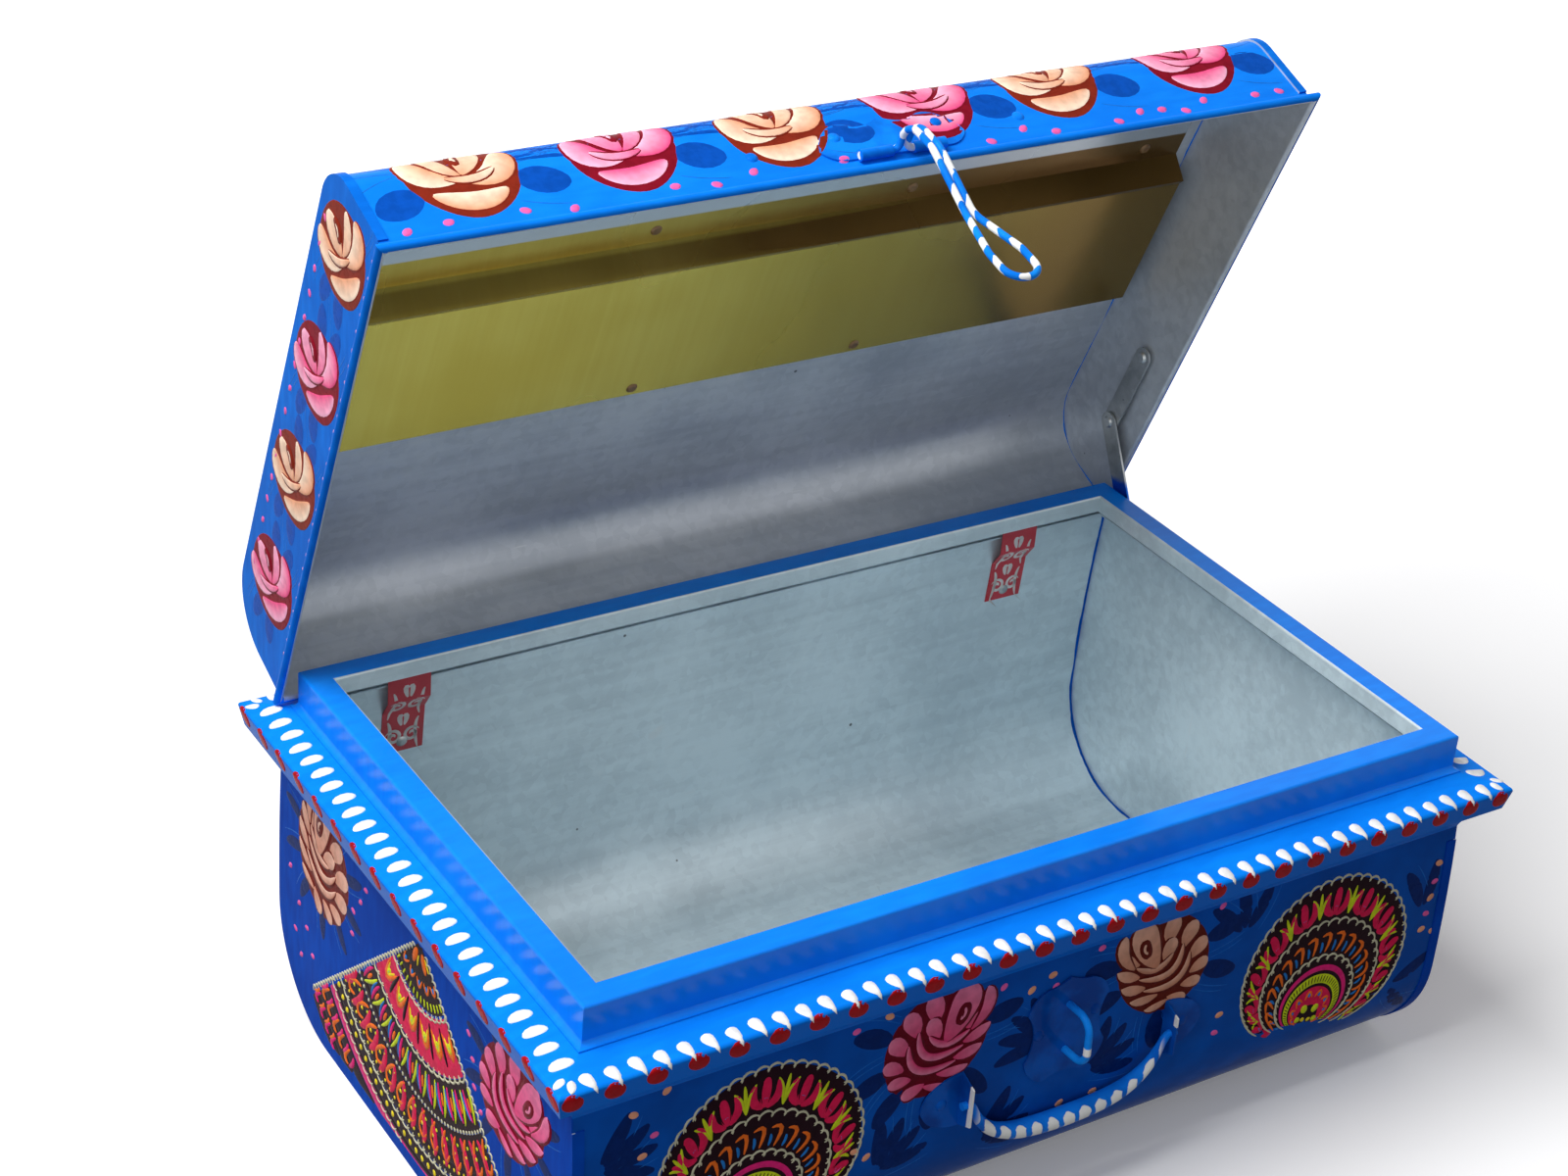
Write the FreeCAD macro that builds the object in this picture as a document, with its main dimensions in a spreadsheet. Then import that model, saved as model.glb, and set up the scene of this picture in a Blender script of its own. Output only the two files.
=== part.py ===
"""Painted sheet-steel chest with a hinged lid, built as folded sheets, wires and rivets.

Millimetres. The origin is under the middle of the chest on the floor: +X to the right end,
+Y to the back, +Z up. The lid, its fittings and the hasp are drawn with the lid shut and
then turned about the rim wire to the angle at which the chest stands open.
"""
import FreeCAD
import Part
import Sketcher
import math
import os

Vector = FreeCAD.Vector
doc = FreeCAD.newDocument("painted_chest")

# Driving dimensions, in millimetres and degrees
SIZES = [
    ("collar_length", 420.0, "outer length of the raised collar round the mouth"),
    ("collar_depth", 249.0, "outer depth of the collar"),
    ("chest_height", 168.0, "floor to the top of the collar"),
    ("gauge", 0.6, "body and lid sheet thickness"),
    ("belly_out", 8.5, "body outside the collar face where its sides bulge most"),
    ("belly_radius", 50.0, "rolled bottom corner, outside"),
    ("wall_lean", 6.2, "how far the wall's top edge stands inside the belly"),
    ("wall_drop", 18.33, "collar top down to the wall's top edge"),
    ("end_offset", 5.5, "end wall outside the collar's end face"),
    ("end_drop", 18.9, "collar top down to the end wall's top edge"),
    ("seam_width", 5.0, "turned seam round an end wall"),
    ("seam_top", 117.0, "height at which the body seam stops under the ledge"),
    ("foot_seam", 0.6, "seam below the floor sheet, which is pressed down level with it"),
    ("panel_edge", 12.0, "pressed floor panel, in from the seams and the rolled corners"),
    ("panel_slope", 4.0, "slope round the pressed panel"),
    ("panel_corner", 16.0, "radius of the pressed panel's corners"),
    ("flange_width", 11.7, "collar's flat top"),
    ("lip_depth", 8.0, "collar's inner lip"),
    ("bend", 1.2, "outside bend radius of the collar"),
    ("foot_width", 2.6, "collar's flared foot"),
    ("foot_drop", 17.04, "collar top down to the foot's edge"),
    ("flare_drop", 14.88, "collar top down to where the foot starts to flare"),
    ("flare_radius", 2.6, "radius of the flare"),
    ("ledge_start", 0.6, "ledge sheet's inner edge, inside the collar face"),
    ("ledge_top_drop", 17.2, "collar top down to the ledge's inner edge"),
    ("nose_reach", 17.6, "ledge top's outer end"),
    ("nose_drop", 20.42, "collar top down to that end"),
    ("nose_radius", 1.9, "rounded nose of the ledge"),
    ("fascia_reach", 18.9, "fascia's top edge"),
    ("fascia_drop", 22.5, "collar top down to the fascia"),
    ("fascia_foot_reach", 17.0, "fascia's bottom edge"),
    ("fascia_foot_drop", 31.5, "collar top down to the fascia's bottom"),
    ("cove_reach", 15.2, "start of the hollow under the ledge"),
    ("cove_drop", 33.2, "collar top down to the hollow"),
    ("cove_radius", 18.0, "radius of the hollow"),
    ("cove_foot_reach", 4.5, "end of the hollow, inside the wall face"),
    ("cove_foot_drop", 49.5, "collar top down to the end of the hollow"),
    ("hinge_out", 5.25, "rim wire behind the collar, which is the hinge line"),
    ("hinge_drop", 15.15, "collar top down to the rim wire"),
    ("lid_open", 68.5, "lid angle from shut at rest"),
    ("lid_front_out", 5.1, "lid's front face, in front of the collar"),
    ("lid_back_out", 4.0, "lid's back face, behind the collar"),
    ("lid_end_out", 5.6, "lid's end face, outside the collar's end"),
    ("lid_front_rise", 49.0, "rim wire up to the lid top at the front"),
    ("lid_back_rise", 51.0, "rim wire up to the lid top at the back"),
    ("lid_front_radius", 16.0, "lid's front top edge"),
    ("lid_back_radius", 27.0, "lid's back top edge"),
    ("lid_seam", 0.9, "raised seam round a lid end"),
    ("lid_seam_width", 4.0, "width of that seam"),
    ("wire_radius", 1.25, "wire in the lid's rolled rim"),
    ("roll_straight", 4.0, "rim roll's straight part above the wire"),
    ("strap_inset", 50.0, "hinge strap's middle in from the collar's end"),
    ("strap_width", 20.0, "hinge strap width"),
    ("strap_gauge", 0.3, "hinge strap thickness"),
    ("hinge_fit", 0.08, "radial running fit of straps and pivots"),
    ("notch_clear", 2.5, "rim notch beside and round a strap"),
    ("strap_fall_in", 1.9, "strap's back face inside the collar, where it runs down"),
    ("strap_knee", 142.0, "height at which the strap turns to the wall"),
    ("strap_touch", 134.0, "height at which the strap reaches the wall"),
    ("strap_end", 112.0, "height of the strap's lower end"),
    ("strap_rivet_z", 117.0, "height of the strap's rivet"),
    ("sheet_slack", 0.06, "gap left under a rivet head by the bulge of a sheet"),
    ("lock_x", 9.0, "hasp and staple from the middle"),
    ("hasp_gauge", 0.8, "hasp plate thickness"),
    ("hasp_wire", 1.5, "hasp wire radius"),
    ("barrel_rise", 7.0, "rim wire up to the hasp's barrel"),
    ("barrel_fit", 0.1, "radial fit of the hasp wire in its barrel"),
    ("barrel_length", 15.0, "each half of the hasp's barrel"),
    ("barrel_gap", 10.0, "gap between the halves, for the wire's strands"),
    ("hasp_plate_half", 34.0, "hasp plate's half width"),
    ("hasp_plate_rise", 21.0, "hasp plate's height above the barrel"),
    ("hasp_rivet_side", 24.0, "hasp plate's rivets beside the middle"),
    ("hasp_rivet_rise", 20.0, "hasp plate's rivets above the rim wire"),
    ("stud_side", 63.0, "outer rivets of the lid front beside the hasp"),
    ("stud_rise", 17.0, "outer rivets above the rim wire"),
    ("hasp_swing", 7.2, "hasp outward of its place over the staple, at rest"),
    ("hasp_pair", 0.2, "half the gap between the hasp's strands"),
    ("hasp_turn", 3.2, "bend from the pins to the strands"),
    ("hasp_out", 21.4, "strands in front of the collar face, over the ledge"),
    ("hasp_shoulder", 9.0, "bend over the ledge"),
    ("hasp_knee", 27.5, "collar top down to where the strands turn in"),
    ("hasp_sweep", 16.0, "easy bend of the strands"),
    ("hasp_neck_out", 10.9, "strands out of the collar face at the eye's neck"),
    ("hasp_neck", 57.0, "collar top down to the neck"),
    ("hasp_eye", 7.5, "half width of the hasp's eye, to the wire's middle"),
    ("hasp_wide", 82.0, "collar top down to where the eye is widest"),
    ("hasp_tip_out", 12.0, "eye out of the collar face"),
    ("hasp_tip", 98.0, "collar top down to the eye's lower end"),
    ("staple_wire", 1.6, "staple wire radius"),
    ("staple_high", 100.0, "height of the staple's upper leg"),
    ("staple_low", 78.0, "height of the staple's lower leg"),
    ("staple_reach", 14.0, "staple beyond its plate, to the wire's middle"),
    ("staple_bend", 7.0, "staple bend radius"),
    ("staple_side", 14.0, "staple plate's rivets beside the staple"),
    ("staple_rise", 4.0, "the right one above the middle"),
    ("staple_plate_half", 20.0, "staple plate's half width"),
    ("staple_plate_rise", 24.0, "staple plate's half height"),
    ("plate_gauge", 0.8, "thickness of the staple and handle plates"),
    ("handle_x", 10.0, "middle of the handle from the middle of the chest"),
    ("handle_half", 51.5, "handle flap from the handle's middle"),
    ("handle_z", 71.0, "height of the handle's pivots"),
    ("handle_out", 13.4, "handle pivots in front of the collar face"),
    ("handle_drop", 24.5, "pivots down to the middle of the bail"),
    ("bail_end", 1.7, "bail radius at its pivots"),
    ("bail_middle", 4.2, "bail radius at its middle"),
    ("flap_height", 26.0, "height of a handle plate's flap"),
    ("flap_rim", 3.6, "flap beyond the pivot's middle"),
    ("handle_plate_reach", 19.0, "handle plate's width from its flap"),
    ("handle_rivet", 9.0, "handle plate's rivet from its flap"),
    ("bail_pin", 2.2, "bail's pin beyond the flap"),
    ("stay_pivot_in", 14.5, "collar's back face to the stay's lower pivot"),
    ("stay_pivot_drop", 7.5, "collar top down to the stay's lower pivot"),
    ("stay_lower", 42.0, "lower stay link, pivot to pivot"),
    ("stay_upper", 44.0, "upper stay link, pivot to pivot"),
    ("stay_lid_u", 85.5, "stay's lid pivot in front of the hinge, lid shut"),
    ("stay_lid_v", 16.6, "stay's lid pivot above the hinge, lid shut"),
    ("stay_width", 10.0, "stay link width"),
    ("stay_gauge", 1.0, "stay link thickness"),
    ("stay_gap", 1.2, "collar face to the lower link"),
    ("stay_play", 0.3, "between the links, side by side"),
    ("pivot_radius", 1.5, "stay rivet shank"),
    ("head_radius", 3.0, "rivet head"),
    ("head_height", 1.1, "rivet head height"),
    ("small_shank", 1.2, "small rivet shank"),
    ("small_head", 2.6, "small rivet head"),
    ("small_rise", 1.0, "small rivet head height"),
    ("axial_play", 0.15, "play of a link under a rivet head"),
    ("pocket_gauge", 0.4, "lid pocket sheet"),
    ("pocket_end_gap", 7.6, "lid's end face to the pocket's end"),
    ("pocket_front", 52.35, "lid's front face to the pocket's front edge"),
    ("pocket_step", 73.35, "lid's front face to the pocket's step"),
    ("pocket_crest", 79.85, "lid's front face to the crest of the pocket's step"),
    ("pocket_back", 155.35, "lid's front face to the pocket's open edge"),
    ("pocket_depth", 9.5, "pocket panel below the lid's inner face"),
    ("pocket_bead", 1.4, "beads along the pocket's folds"),
    ("pocket_rivet_in", 66.35, "lid's front face to the pocket strip's rivets"),
    ("pocket_brace_in", 4.0, "rivets at the open edge, in from it"),
]


class Size:
    """A length that carries its value and the sheet formula that gives it."""

    def __init__(self, value, text):
        self.value = value
        self.text = text

    def __add__(self, other):
        other = as_size(other)
        return Size(self.value + other.value, "(%s + %s)" % (self.text, other.text))

    def __sub__(self, other):
        other = as_size(other)
        return Size(self.value - other.value, "(%s - %s)" % (self.text, other.text))

    def __mul__(self, other):
        other = as_size(other)
        return Size(self.value * other.value, "(%s * %s)" % (self.text, other.text))

    def __truediv__(self, other):
        other = as_size(other)
        return Size(self.value / other.value, "(%s / %s)" % (self.text, other.text))

    def __neg__(self):
        return Size(-self.value, "(0 - %s)" % self.text)

    __radd__ = __add__
    __rmul__ = __mul__


def root(thing):
    """The square root of a Size."""
    return Size(math.sqrt(thing.value), "sqrt(%s)" % thing.text)


def as_size(thing):
    """A plain factor becomes a Size, and a Size stays as it is."""
    if isinstance(thing, Size):
        return thing
    return Size(float(thing), "%.6f" % thing)


sheet = doc.addObject("Spreadsheet::Sheet", "Sizes")
for row, (alias, value, note) in enumerate(SIZES, start=1):
    sheet.set("A%d" % row, alias)
    sheet.set("B%d" % row, repr(value))
    sheet.setAlias("B%d" % row, alias)
    sheet.set("C%d" % row, note)
doc.recompute()
VALUES = {alias: value for alias, value, note in SIZES}
ZERO = as_size(0.0)
nodes = []


def size(alias):
    """A cell of the sheet as a Size."""
    return Size(VALUES[alias], "Sizes." + alias)


# Planes for the sketches: the section plane looks along +X, the front plane along +Y
SECTION = FreeCAD.Rotation(Vector(1, 1, 1), 120)
FRONT = FreeCAD.Rotation(Vector(1, 0, 0), 90)
PLAN = FreeCAD.Rotation()


def sketch_of(name, rotation, start, path, closed=False):
    """A sketch of lines and arcs whose corners are all bound to the sheet.

    Each step of the path is an end point, or an end point with a radius: a positive
    radius bends to the left on the way, a negative one to the right.
    """
    sketch = doc.addObject("Sketcher::SketchObject", name)
    sketch.Placement = FreeCAD.Placement(Vector(), rotation)
    here = start
    previous = None
    first = None
    for step in path:
        there = (step[0], step[1])
        a = Vector(here[0].value, here[1].value, 0)
        b = Vector(there[0].value, there[1].value, 0)
        radius = step[2] if len(step) > 2 else None
        if radius is None:
            index = sketch.addGeometry(Part.LineSegment(a, b))
            ends = (1, 2)
        else:
            index = sketch.addGeometry(arc_between(a, b, radius.value))
            ends = (1, 2) if radius.value > 0 else (2, 1)
            held = radius if radius.value > 0 else -radius
            number = sketch.addConstraint(Sketcher.Constraint("Radius", index, held.value))
            sketch.setExpression("Constraints[%d]" % number, held.text)
        if previous is None:
            first = (index, ends[0])
            hold_point(sketch, index, ends[0], here)
        else:
            sketch.addConstraint(Sketcher.Constraint("Coincident", previous[0], previous[1], index, ends[0]))
        previous = (index, ends[1])
        here = there
        if closed and step is path[-1]:
            sketch.addConstraint(Sketcher.Constraint("Coincident", index, ends[1], first[0], first[1]))
        else:
            hold_point(sketch, index, ends[1], there)
    return sketch


def arc_between(a, b, radius):
    """The short arc from a to b: left-hand for a positive radius, right-hand for a negative."""
    chord = b - a
    middle = (a + b) * 0.5
    left = Vector(-chord.y, chord.x, 0)
    left.normalize()
    reach = math.sqrt(radius * radius - chord.Length ** 2 / 4)
    side = 1 if radius > 0 else -1
    centre = middle + left * (side * reach)
    crown = centre - left * (side * abs(radius))
    return Part.Arc(a, crown, b) if radius > 0 else Part.Arc(b, crown, a)


def hold_point(sketch, index, end, point):
    """Bind one end of a line or arc to the sheet, across and up."""
    for kind, along in (("DistanceX", point[0]), ("DistanceY", point[1])):
        number = sketch.addConstraint(Sketcher.Constraint(kind, -1, 1, index, end, along.value))
        sketch.setExpression("Constraints[%d]" % number, along.text)


def extrude(name, base, length, symmetric=True, reverse=False):
    """Push a flat face out along its plane's normal."""
    block = doc.addObject("Part::Extrusion", name)
    block.Base = base
    block.DirMode = "Normal"
    block.Solid = True
    block.Symmetric = symmetric
    block.Reversed = reverse
    block.LengthFwd = length.value
    block.setExpression("LengthFwd", length.text)
    return block


def folded(name, rotation, start, path, gauge, length):
    """Sheet metal: a folded line given its gauge on the right-hand side of the way, then its length."""
    line = sketch_of(name + "_line", rotation, start, path)
    leaf = doc.addObject("Part::Offset2D", name + "_leaf")
    leaf.Source = line
    leaf.Mode = "Skin"
    leaf.Join = "Intersection"
    leaf.Fill = True
    leaf.Value = gauge.value
    leaf.setExpression("Value", gauge.text)
    return extrude(name + "_run", leaf, length)


def slab(name, rotation, start, path, length, symmetric=True, reverse=False):
    """A closed outline run along its plane's normal."""
    outline = sketch_of(name + "_outline", rotation, start, path, closed=True)
    return extrude(name, outline, length, symmetric, reverse)


def moved(thing, x=ZERO, y=ZERO, z=ZERO):
    """Bind an object's place to the sheet."""
    for axis, along in (("x", x), ("y", y), ("z", z)):
        thing.setExpression("Placement.Base." + axis, along.text)
    return thing


def join(name, kind, base, tool):
    """Cut, Fuse or Common of two objects."""
    result = doc.addObject("Part::" + kind, name)
    result.Base = base
    result.Tool = tool
    return result


def join_all(name, parts):
    """One piece fused from several."""
    result = doc.addObject("Part::MultiFuse", name)
    result.Shapes = parts
    result.Refine = True
    return result


def box(name, x, y, z, length, width, height):
    """A box with its low corner and its sides bound to the sheet."""
    block = doc.addObject("Part::Box", name)
    for side, along in (("Length", length), ("Width", width), ("Height", height)):
        block.setExpression(side, along.text)
    return moved(block, x, y, z)


def finish(name, thing, pose=None):
    """Label a finished piece and set it in its place."""
    thing.Label = name
    if pose is not None:
        thing.Placement = pose
    nodes.append(thing)
    return thing


HEIGHT = size("chest_height")
GAUGE = size("gauge")
HALF_LENGTH = size("collar_length") / 2
HALF_DEPTH = size("collar_depth") / 2
BELLY = HALF_DEPTH + size("belly_out")
HINGE_Y = HALF_DEPTH + size("hinge_out")
HINGE_Z = HEIGHT - size("hinge_drop")
LID_POSE = FreeCAD.Placement(
    Vector(), FreeCAD.Rotation(Vector(-1, 0, 0), VALUES["lid_open"]), Vector(0, HINGE_Y.value, HINGE_Z.value)
)


# Trunk body: one wrapped sheet for front, floor and back, and an end wall seamed on each side
LEAN_HEIGHT = HEIGHT - size("wall_drop") - size("belly_radius") - size("foot_seam")
SIDE_RADIUS = (LEAN_HEIGHT * LEAN_HEIGHT + size("wall_lean") * size("wall_lean")) / (size("wall_lean") * 2)


def wall_face(height, grow=ZERO):
    """The bulged wall's face at a height, out from the middle plane."""
    rise = height - size("belly_radius") - size("foot_seam")
    return BELLY + grow - SIDE_RADIUS + root(SIDE_RADIUS * SIDE_RADIUS - rise * rise)


def body_outline(grow, top):
    """Half of the body's section: floor middle, rolled corner, bulged wall, to a given top."""
    corner = size("belly_radius") + grow
    knee = size("belly_radius") + size("foot_seam")
    floor = size("foot_seam") - grow
    belly = BELLY + grow
    return [
        (belly - corner, floor),
        (belly, knee, corner),
        (belly - size("wall_lean"), top, SIDE_RADIUS),
    ]


def mirrored(path, start):
    """The same path walked back on the other side of the middle plane."""
    corners = [start] + [(step[0], step[1]) for step in path]
    bends = [step[2] if len(step) > 2 else None for step in path]
    back = []
    for number in range(len(path) - 1, -1, -1):
        point = corners[number]
        step = (-point[0], point[1])
        if bends[number] is not None:
            step = step + (bends[number],)
        back.append(step)
    return back


def body_slab(name, grow, length):
    """The body's full section as a solid block of the given length."""
    top = HEIGHT - size("wall_drop")
    start = (ZERO, size("foot_seam") - grow)
    right = body_outline(grow, top)
    crossing = [(-right[-1][0], top)]
    path = right + crossing + mirrored(right, start)
    return slab(name, SECTION, start, path, length)


END_X = HALF_LENGTH + size("end_offset")
hollow = body_slab("body_hollow", -GAUGE, END_X * 3)
wrap_block = body_slab("wrap_block", ZERO, (END_X - GAUGE) * 2)
wrap_plain = join("wrap_plain", "Cut", wrap_block, hollow)
envelope = body_slab("body_envelope", ZERO, END_X * 2)

# The floor is pressed down inside its edges, so the chest stands on it and on both end seams
PANEL_HALF_LENGTH = END_X - size("seam_width") - size("panel_edge")
PANEL_HALF_DEPTH = BELLY - size("belly_radius") - size("panel_edge")


def plan_loop(name, inset, height):
    """The panel's rounded rectangle, drawn in by an inset, at a height."""
    along = PANEL_HALF_LENGTH - inset
    deep = PANEL_HALF_DEPTH - inset
    corner = size("panel_corner") - inset
    path = [
        (along - corner, -deep),
        (along, corner - deep, corner),
        (along, deep - corner),
        (along - corner, deep, corner),
        (corner - along, deep),
        (-along, deep - corner, corner),
        (-along, corner - deep),
        (corner - along, -deep, corner),
    ]
    return moved(sketch_of(name, PLAN, (corner - along, -deep), path, closed=True), z=height)


def pressing(name, height):
    """A shallow block with sloping sides, from a height up to the top of its slope."""
    block = doc.addObject("Part::Loft", name)
    foot = plan_loop(name + "_foot", size("panel_slope"), height)
    block.Sections = [foot, plan_loop(name + "_head", ZERO, height + size("foot_seam"))]
    block.Solid = True
    block.Ruled = True
    return block


wrap_bulged = join_all("wrap_bulged", [wrap_plain, pressing("panel_bulge", ZERO)])
wrap_sheet = join("wrap_sheet", "Cut", wrap_bulged, pressing("panel_hollow", GAUGE))

for side, name in ((-1, "body_end_left"), (1, "body_end_right")):
    plate_block = body_slab(name + "_block", ZERO, GAUGE)
    moved(plate_block, (END_X - GAUGE / 2) * side)
    trim = box(name + "_trim", -END_X * 2, -END_X, HEIGHT - size("end_drop"), END_X * 4, END_X * 2, HEIGHT)
    plate = join(name + "_plate", "Cut", plate_block, trim)
    rim_block = body_slab(name + "_rim_block", size("foot_seam"), size("seam_width"))
    moved(rim_block, (END_X - size("seam_width") / 2) * side)
    rim = join(name + "_rim", "Cut", rim_block, envelope)
    low = box(name + "_low", -END_X * 2, -END_X, -HEIGHT, END_X * 4, END_X * 2, HEIGHT + size("seam_top"))
    seam = join(name + "_seam", "Common", rim, low)
    finish(name, join_all(name, [plate, seam]))


# Ledge and collar: each side is a folded strip mitred at the corners
def mitre(name, half, along, inset, reach):
    """A prism that keeps a strip between the two 45 degree planes through its corners."""
    start = (-(along + reach), half + reach)
    path = [
        (-(along - inset), half - inset),
        (along - inset, half - inset),
        (along + reach, half + reach),
        start,
    ]
    return slab(name, PLAN, start, path, HEIGHT * 2, symmetric=False)


def moulding(name, profile, half, along, inset, reach):
    """A strip of the given section, mitred, on the +Y side; profile steps are (out, up, radius)."""
    steps = [(half + step[0],) + tuple(step[1:]) for step in profile]
    run = folded(name, SECTION, steps[0], steps[1:], GAUGE, (along + reach) * 2)
    prism = mitre(name + "_mitre", half, along, inset, reach)
    return join(name + "_strip", "Common", run, prism)


def drop(alias):
    """A height measured down from the top of the collar."""
    return HEIGHT - size(alias)


LEDGE = [
    (-size("ledge_start"), drop("ledge_top_drop")),
    (size("nose_reach"), drop("nose_drop")),
    (size("fascia_reach"), drop("fascia_drop"), -size("nose_radius")),
    (size("fascia_foot_reach"), drop("fascia_foot_drop")),
    (size("cove_reach"), drop("cove_drop")),
    (size("cove_foot_reach"), drop("cove_foot_drop"), size("cove_radius")),
]
BEND = size("bend")
COLLAR = [
    (-size("flange_width"), HEIGHT - size("lip_depth")),
    (-size("flange_width"), HEIGHT - BEND),
    (BEND - size("flange_width"), HEIGHT, -BEND),
    (-BEND, HEIGHT),
    (ZERO, HEIGHT - BEND, -BEND),
    (ZERO, drop("flare_drop")),
    (size("foot_width"), drop("foot_drop"), size("flare_radius")),
]
STRAP_X = HALF_LENGTH - size("strap_inset")
SIDES = [("back", 0, HALF_DEPTH, HALF_LENGTH), ("front", 180, HALF_DEPTH, HALF_LENGTH)]
SIDES += [("left", 90, HALF_LENGTH, HALF_DEPTH), ("right", -90, HALF_LENGTH, HALF_DEPTH)]
REACH = size("fascia_reach") + size("nose_radius")
INSET = size("flange_width") + size("nose_radius")

collar_strips = {}
for side_name, turn, half, along in SIDES:
    pose = FreeCAD.Placement(Vector(), FreeCAD.Rotation(Vector(0, 0, 1), turn))
    name = "ledge_" + side_name
    strip = moulding(name, LEDGE, half, along, INSET, REACH)
    strip.Placement = pose
    finish(name, join(name, "Cut", strip, envelope))
    name = "collar_" + side_name
    strip = moulding(name, COLLAR, half, along, INSET, REACH)
    strip.Placement = pose
    if side_name == "back":
        slots = []
        for side in (-1, 1):
            slot = box(
                "strap_slot_%d" % (side + 1),
                STRAP_X * side - (size("strap_width") + size("strap_gauge") * 2) / 2,
                HALF_DEPTH - GAUGE * 2,
                HINGE_Z + size("wire_radius") - size("strap_gauge"),
                size("strap_width") + size("strap_gauge") * 2,
                GAUGE * 3,
                size("strap_gauge") * 4,
            )
            slots.append(slot)
        strip = join(name + "_slotted", "Cut", strip, join_all("strap_slots", slots))
    collar_strips[side_name] = strip
for side_name in ("front", "back", "left"):
    finish("collar_" + side_name, collar_strips[side_name])


# Lid: one wrapped sheet with a rolled rim, an end with a raised seam on each side, a rim wire
LID_FRONT = HALF_DEPTH + size("lid_front_out")
LID_BACK = HALF_DEPTH + size("lid_back_out")
LID_MIDDLE = (LID_BACK - LID_FRONT) / 2
LID_SPAN = HINGE_Y + LID_FRONT
LID_HALF = (LID_BACK + LID_FRONT) / 2
LID_END = HALF_LENGTH + size("lid_end_out")
WIRE = size("wire_radius")


def lid_outline(grow, foot):
    """The lid's section from the front rim over the top to the back rim."""
    front = -(LID_FRONT + grow)
    back = LID_BACK + grow
    front_top = HINGE_Z + size("lid_front_rise") + grow
    back_top = HINGE_Z + size("lid_back_rise") + grow
    front_bend = size("lid_front_radius") + grow
    back_bend = size("lid_back_radius") + grow
    return [
        (front, foot),
        (front, front_top - front_bend),
        (front + front_bend, front_top, -front_bend),
        (back - back_bend, back_top),
        (back, back_top - back_bend, -back_bend),
        (back, foot),
    ]


def lid_slab(name, grow, foot, length):
    """The lid's section as a solid block."""
    path = lid_outline(grow, foot)
    return slab(name, SECTION, path[0], path[1:] + [path[0]], length)


def rim_roll(name, half, along):
    """The rolled edge round the rim wire, with a short straight of wall above it."""
    profile = [
        (ZERO, HINGE_Z + size("roll_straight")),
        (ZERO, HINGE_Z),
        (WIRE, HINGE_Z - WIRE, WIRE),
        (WIRE * 2, HINGE_Z, WIRE),
        (WIRE, HINGE_Z + WIRE, WIRE),
    ]
    return moulding(name, profile, half, along, GAUGE * 2, WIRE * 4)


def turned_about(thing, turn):
    """Turn a strip drawn on the +Y side round the lid's middle."""
    centre = Vector(0, LID_MIDDLE.value, 0)
    thing.Placement = FreeCAD.Placement(centre, FreeCAD.Rotation(Vector(0, 0, 1), turn))
    return thing


rolls = []
for name, turn, half, along in (
    ("roll_back", 0, LID_HALF, LID_END),
    ("roll_front", 180, LID_HALF, LID_END),
    ("roll_left", 90, LID_END, LID_HALF),
    ("roll_right", -90, LID_END, LID_HALF),
):
    rolls.append(turned_about(rim_roll(name, half, along), turn))

lid_block = lid_slab("lid_block", ZERO, HINGE_Z, (LID_END - GAUGE) * 2)
lid_hollow = lid_slab("lid_hollow", -GAUGE, HINGE_Z - HEIGHT, LID_END * 3)
lid_shell = join("lid_shell", "Cut", lid_block, lid_hollow)
lid_rolled = join_all("lid_rolled", [lid_shell, rolls[0], rolls[1]])
notches = []
for side in (-1, 1):
    notch = box(
        "rim_notch_%d" % (side + 1),
        STRAP_X * side - size("strap_width") / 2 - size("notch_clear"),
        LID_BACK - GAUGE * 2,
        HINGE_Z - WIRE * 2,
        size("strap_width") + size("notch_clear") * 2,
        WIRE * 4,
        WIRE * 2 + size("roll_straight"),
    )
    notches.append(notch)
lid_notched = join("lid_notched", "Cut", lid_rolled, join_all("rim_notches", notches))

lid_room = lid_slab("lid_room", ZERO, HINGE_Z - HEIGHT, LID_END * 2)
SEAM_FOOT = HINGE_Z + size("roll_straight") + GAUGE
lid_ends = {}
for side, name, roll in ((-1, "left", rolls[2]), (1, "right", rolls[3])):
    plate = lid_slab("lid_%s_plate" % name, ZERO, HINGE_Z, GAUGE)
    moved(plate, (LID_END - GAUGE / 2) * side)
    ridge_block = lid_slab("lid_%s_ridge_block" % name, size("lid_seam"), SEAM_FOOT, size("lid_seam_width"))
    moved(ridge_block, (LID_END - size("lid_seam_width") / 2) * side)
    ridge = join("lid_%s_ridge" % name, "Cut", ridge_block, lid_room)
    whole = join_all("lid_%s_whole" % name, [plate, ridge, roll])
    lid_ends[name] = join("lid_%s_end" % name, "Cut", whole, lid_rolled)
finish("lid_end_left", lid_ends["left"], LID_POSE)

# The wire runs square round the lid inside the rolled rim
wire_loop = sketch_of(
    "rim_wire_line",
    PLAN,
    (ZERO, LID_BACK + WIRE),
    [
        (LID_END + WIRE, LID_BACK + WIRE),
        (LID_END + WIRE, -(LID_FRONT + WIRE)),
        (-(LID_END + WIRE), -(LID_FRONT + WIRE)),
        (-(LID_END + WIRE), LID_BACK + WIRE),
        (ZERO, LID_BACK + WIRE),
    ],
    closed=True,
)
moved(wire_loop, z=HINGE_Z)
wire_section = doc.addObject("Part::Circle", "rim_wire_section")
wire_section.setExpression("Radius", WIRE.text)
wire_section.Placement = FreeCAD.Placement(
    Vector(0, (LID_BACK + WIRE).value, HINGE_Z.value), FreeCAD.Rotation(Vector(0, 1, 0), 90)
)
rim_wire = doc.addObject("Part::Sweep", "lid_rim_wire")
rim_wire.Sections = [wire_section]
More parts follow.
